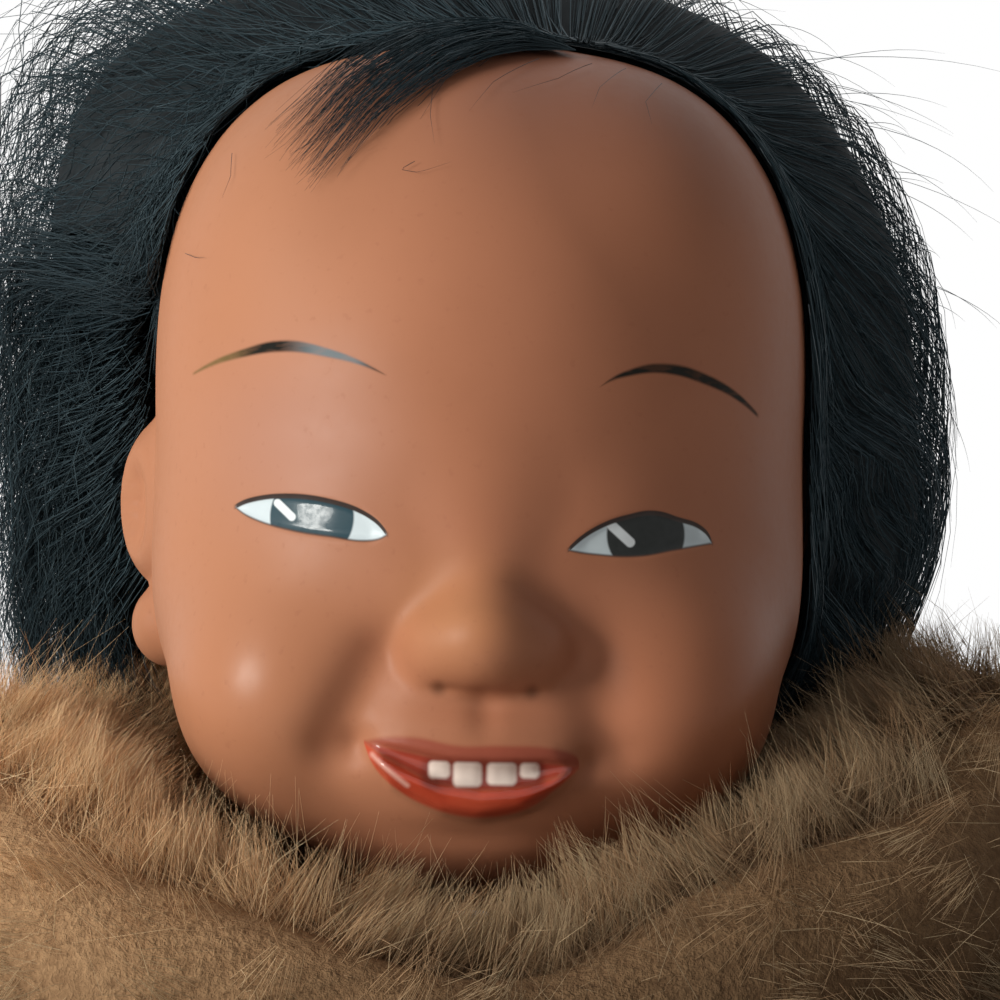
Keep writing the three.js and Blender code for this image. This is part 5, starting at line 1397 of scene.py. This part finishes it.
def make_leg(side):
    name = "left" if side > 0 else "right"
    body = name + "_leg"
    rings = curve_through([(17.5, 0, 262, 18.6, 29), (19.8, 0, 246, 20.4, 31.5), (21.0, 0, 230, 21.4, 32.6),
                           (23.6, 0, 208, 23.8, 29.6), (26.6, 0, 188, 24.6, 26.4), (28, 0, 170, 24.4, 24.4),
                           (28, 0, 150, 23.4, 23.4), (28, 0, 132, 22.4, 22.4), (28, 0, 117, 21.3, 21.3)], 62)
    bm = ring_tube([(side * cx, cy, z, rx, ry) for cx, cy, z, rx, ry in rings], 72)
    height = [ring[2] for ring in rings][::-1]
    for v in bm.verts:
        middle, deep = (np.interp(v.co.z, height, [ring[i] for ring in rings][::-1]) for i in (0, 4))
        if side * v.co.x < middle:
            near = (1 - min(abs(v.co.y) / deep, 1) ** 4) ** 0.25
            flat = side * (middle - (middle - 0.5) * near)
            v.co.x += (flat - v.co.x) * step(v.co.z, 176, 200)

    def folds(co):
        knee = hill(co.z, 146, 16) + 0.8 * hill(co.z, 200, 16)
        angle = math.atan2(co.y, (co.x - side * 27) * side)
        pull = 1.0 * knee * math.sin(co.z / 3.6 + 1.1 * math.sin(2 * angle + side))
        loose = 0.6 * clamped((132 - co.z) / 14) * math.sin(9 * angle)
        return pull * (0.55 + 0.45 * math.sin(angle * 1.5)) + loose + 0.8 * soft_noise(co, 20.0, 9.0 + side)

    fold(bm, folds)
    bmesh.ops.solidify(bm, geom=bm.faces[:], thickness=1.2)
    trouser = placed(name + "_trouser", bm, CLOTH)
    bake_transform(trouser)
    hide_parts(name + "_trouser_leg")

    shaft = turned([(0, 20), *curve_through(
        [(13.5, 22), (15.2, 36), (15.5, 43.3), (16.4, 60), (17.6, 80), (18.4, 100)], 24), (0, 100)], 48)
    foot = ball((0, -7, 11.3), (15.8, 33.6, 20))
    toe = ball((0, -24, 9.5), (13.6, 15.5, 12.5))
    boot = melted(joined(shaft, foot, toe), 1.1, 8)

    def creases(co):
        ankle = hill(co.z, 38, 9)
        pucker = 0.5 * hill(co.z, 11, 4.5) * math.sin(26 * math.atan2(co.x, -co.y - 7))
        front = clamped((-co.y + 4) / 30)
        seam = -0.45 * hill(co.x, 0, 0.7) * (1 if co.y < -6 and co.z > 20 else 0)
        wrinkle = 0.6 * ankle * math.sin(co.z / 2.6)
        return wrinkle + pucker * (0.35 + 0.65 * front) + seam + 0.4 * soft_noise(co, 11.0, 7.0)

    fold(boot, creases)
    for v in boot.verts:
        v.co.z = max(v.co.z, 5.2)
    bmesh.ops.translate(boot, vec=(side * LEG_ASIDE, 0, 0), verts=boot.verts)
    piece(name + "_boot_upper", boot, BOOT_HIDE, body, "boot_hide", name + "_boot")

    line = curve_through([(0, 0), (30, 0), (33.2, 0.3), (34, 2.4), (33.4, 4.7), (30, 5), (0, 5)], 40)
    sole = turned(line, 96)
    bmesh.ops.scale(sole, vec=(16 / 34, 1, 1), verts=sole.verts)
    for v in sole.verts:
        v.co.z = min(max(v.co.z, 0.0), 5.0)
    bmesh.ops.translate(sole, vec=(side * LEG_ASIDE, -7, 0), verts=sole.verts)
    piece(name + "_sole_hide", sole, SOLE_HIDE, body, "sole_hide", name + "_sole")

    tie = ring_tie(16.9, 1.1)
    bmesh.ops.translate(tie, vec=(side * LEG_ASIDE, 0, 43.3), verts=tie.verts)
    piece(name + "_boot_thong", tie, THONG, body, "thong", name + "_boot_tie")

    def boot_fur(theta, psi):
        radius = 18.4 + 4.0 * np.cos(psi)
        return np.column_stack([side * LEG_ASIDE + radius * np.sin(theta), -radius * np.cos(theta),
                                108.3 + 8.6 * np.sin(psi)])

    lie = combed(np.array([0, 0, -0.8]), 4, side)
    fur_ring(name + "_boot_cuff", boot_fur, body, name + "_boot_cuff", 380, trim_length, lie, rows=56, sides=14)


def ring_tie(radius, thick):
    """A thong wound twice round the ankle and knotted in front."""
    shapes = []
    for lift in (-0.9, 0.9):
        bm = turned([(radius + thick * math.cos(a), lift + thick * math.sin(a))
                     for a in np.linspace(0, 2 * math.pi, 13)], 64)
        shapes.append(bm)
    shapes.append(ball((0, -radius - 0.9, 0), (2.6, 1.7, 2.0)))
    return joined(*shapes)


make_parka()
make_hem()
make_hood()
make_seat()
for side in (1, -1):
    make_arm(side)
    make_leg(side)


# What stays hidden inside: the CAD pieces keep their shape and take a finish

def plain_material(name, light, dark, scale, rough, metal=0.0):
    material, shader, n = new_material(name, Roughness=rough, Metallic=metal)
    cloud = n.effect(MOTTLING, Place=n.place(), Scale=scale, Detail=3.0, Roughness=0.5, Low=0.2, High=0.8,
                     Dark=dark, Light=light)
    n.put(shader.inputs["Base Color"], cloud["Colour"])
    return material


FINISHES = {
    "bisque": plain_material("bisque_limb", (0.40, 0.158, 0.086, 1), (0.35, 0.135, 0.072, 1), 40, 0.45),
    "composition": plain_material("composition", (0.46, 0.30, 0.2, 1), (0.38, 0.24, 0.15, 1), 50, 0.6),
    "wood": plain_material("wood", (0.45, 0.30, 0.17, 1), (0.33, 0.21, 0.11, 1), 90, 0.55),
    "steel": plain_material("steel", (0.55, 0.55, 0.56, 1), (0.42, 0.42, 0.43, 1), 120, 0.35, 1.0),
    "elastic": plain_material("elastic", (0.72, 0.70, 0.66, 1), (0.58, 0.56, 0.52, 1), 600, 0.8),
    "pate_board": plain_material("pate_board", (0.46, 0.36, 0.24, 1), (0.38, 0.29, 0.19, 1), 80, 0.9),
}
HIDDEN = {
    "torso_front": "composition", "torso_back": "composition", "arm_elastic": "elastic", "leg_elastic": "elastic",
    "neck_button": "wood", "hook_washer": "steel", "head_hook": "steel", "pate": "pate_board",
    "left_arm": "bisque", "right_arm": "bisque", "left_leg": "bisque", "right_leg": "bisque",
    "left_arm_pin": "steel", "right_arm_pin": "steel", "left_hip_pin": "steel", "right_hip_pin": "steel",
}
for node, finish in HIDDEN.items():
    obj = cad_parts[node]
    obj.data.materials.clear()
    obj.data.materials.append(FINISHES[finish])

# Light and stage

def area_light(name, place, size, power, colour=(1, 1, 1)):
    data = bpy.data.lights.new(name, "AREA")
    data.shape = "DISK"
    data.size = size
    data.energy = power
    data.color = colour
    light = bpy.data.objects.new(name, data)
    light.location = place
    aim = Vector((0, 0, EYES * MM)) - Vector(place)
    light.rotation_euler = aim.to_track_quat("-Z", "Y").to_euler()
    bpy.context.collection.objects.link(light)


area_light("key", (-0.93, -0.60, 0.62), 0.42, 13.6, (1.0, 0.99, 0.94))
area_light("fill", (0.5, -0.9, 0.6), 0.8, 0.5, (1.0, 0.92, 0.84))
area_light("top", (-0.7, -0.25, 1.05), 0.8, 1.3, (1.0, 0.99, 0.95))
area_light("back", (0.1, 1.1, 0.55), 0.8, 4.0)

def seen_rays(n):
    """1 for the rays that show the background itself."""
    rays = n.add("ShaderNodeLightPath").outputs
    seen = n.math("MAXIMUM", rays["Is Camera Ray"], rays["Is Glossy Ray"])
    return n.math("MAXIMUM", seen, rays["Is Transmission Ray"])


world = bpy.data.worlds.new("studio")
world.use_nodes = True
bpy.context.scene.world = world
w = Nodes(world.node_tree)
backdrop = world.node_tree.nodes["Background"]
w.put(backdrop.inputs["Color"], (1.0, 1.0, 1.0, 1.0))
w.put(backdrop.inputs["Strength"], w.mix_value(seen_rays(w), 0.16, 1.0))

floor_mesh = bpy.data.meshes.new("floor")
bm = bmesh.new()
bmesh.ops.create_grid(bm, x_segments=1, y_segments=1, size=3.0)
bm.to_mesh(floor_mesh)
bm.free()
floor = bpy.data.objects.new("floor", floor_mesh)
bpy.context.collection.objects.link(floor)
floor_material, floor_shader, n = new_material("pale_floor", Roughness=0.9)
where = n.place()
paper = n.effect(MOTTLING, Place=where, Scale=6.0, Detail=2.0, Roughness=0.5, Low=0.2, High=0.8,
                 Dark=(0.84, 0.84, 0.84, 1), Light=(0.87, 0.87, 0.87, 1))
n.put(floor_shader.inputs["Base Color"], paper["Colour"])
far = n.ramp(n.add("ShaderNodeVectorMath", {0: where}, operation="LENGTH").outputs["Value"], 0.25, 0.9)
white = n.add("ShaderNodeEmission", {"Color": (1, 1, 1, 1), "Strength": 1.0}).outputs["Emission"]
fade = n.add("ShaderNodeMixShader", {
    0: n.math("MULTIPLY", far, seen_rays(n)), 1: floor_shader.outputs["BSDF"], 2: white,
})
n.put(floor_material.node_tree.nodes["Material Output"].inputs["Surface"], fade.outputs["Shader"])
floor_mesh.materials.append(floor_material)

bpy.context.scene.view_settings.view_transform = "Standard"
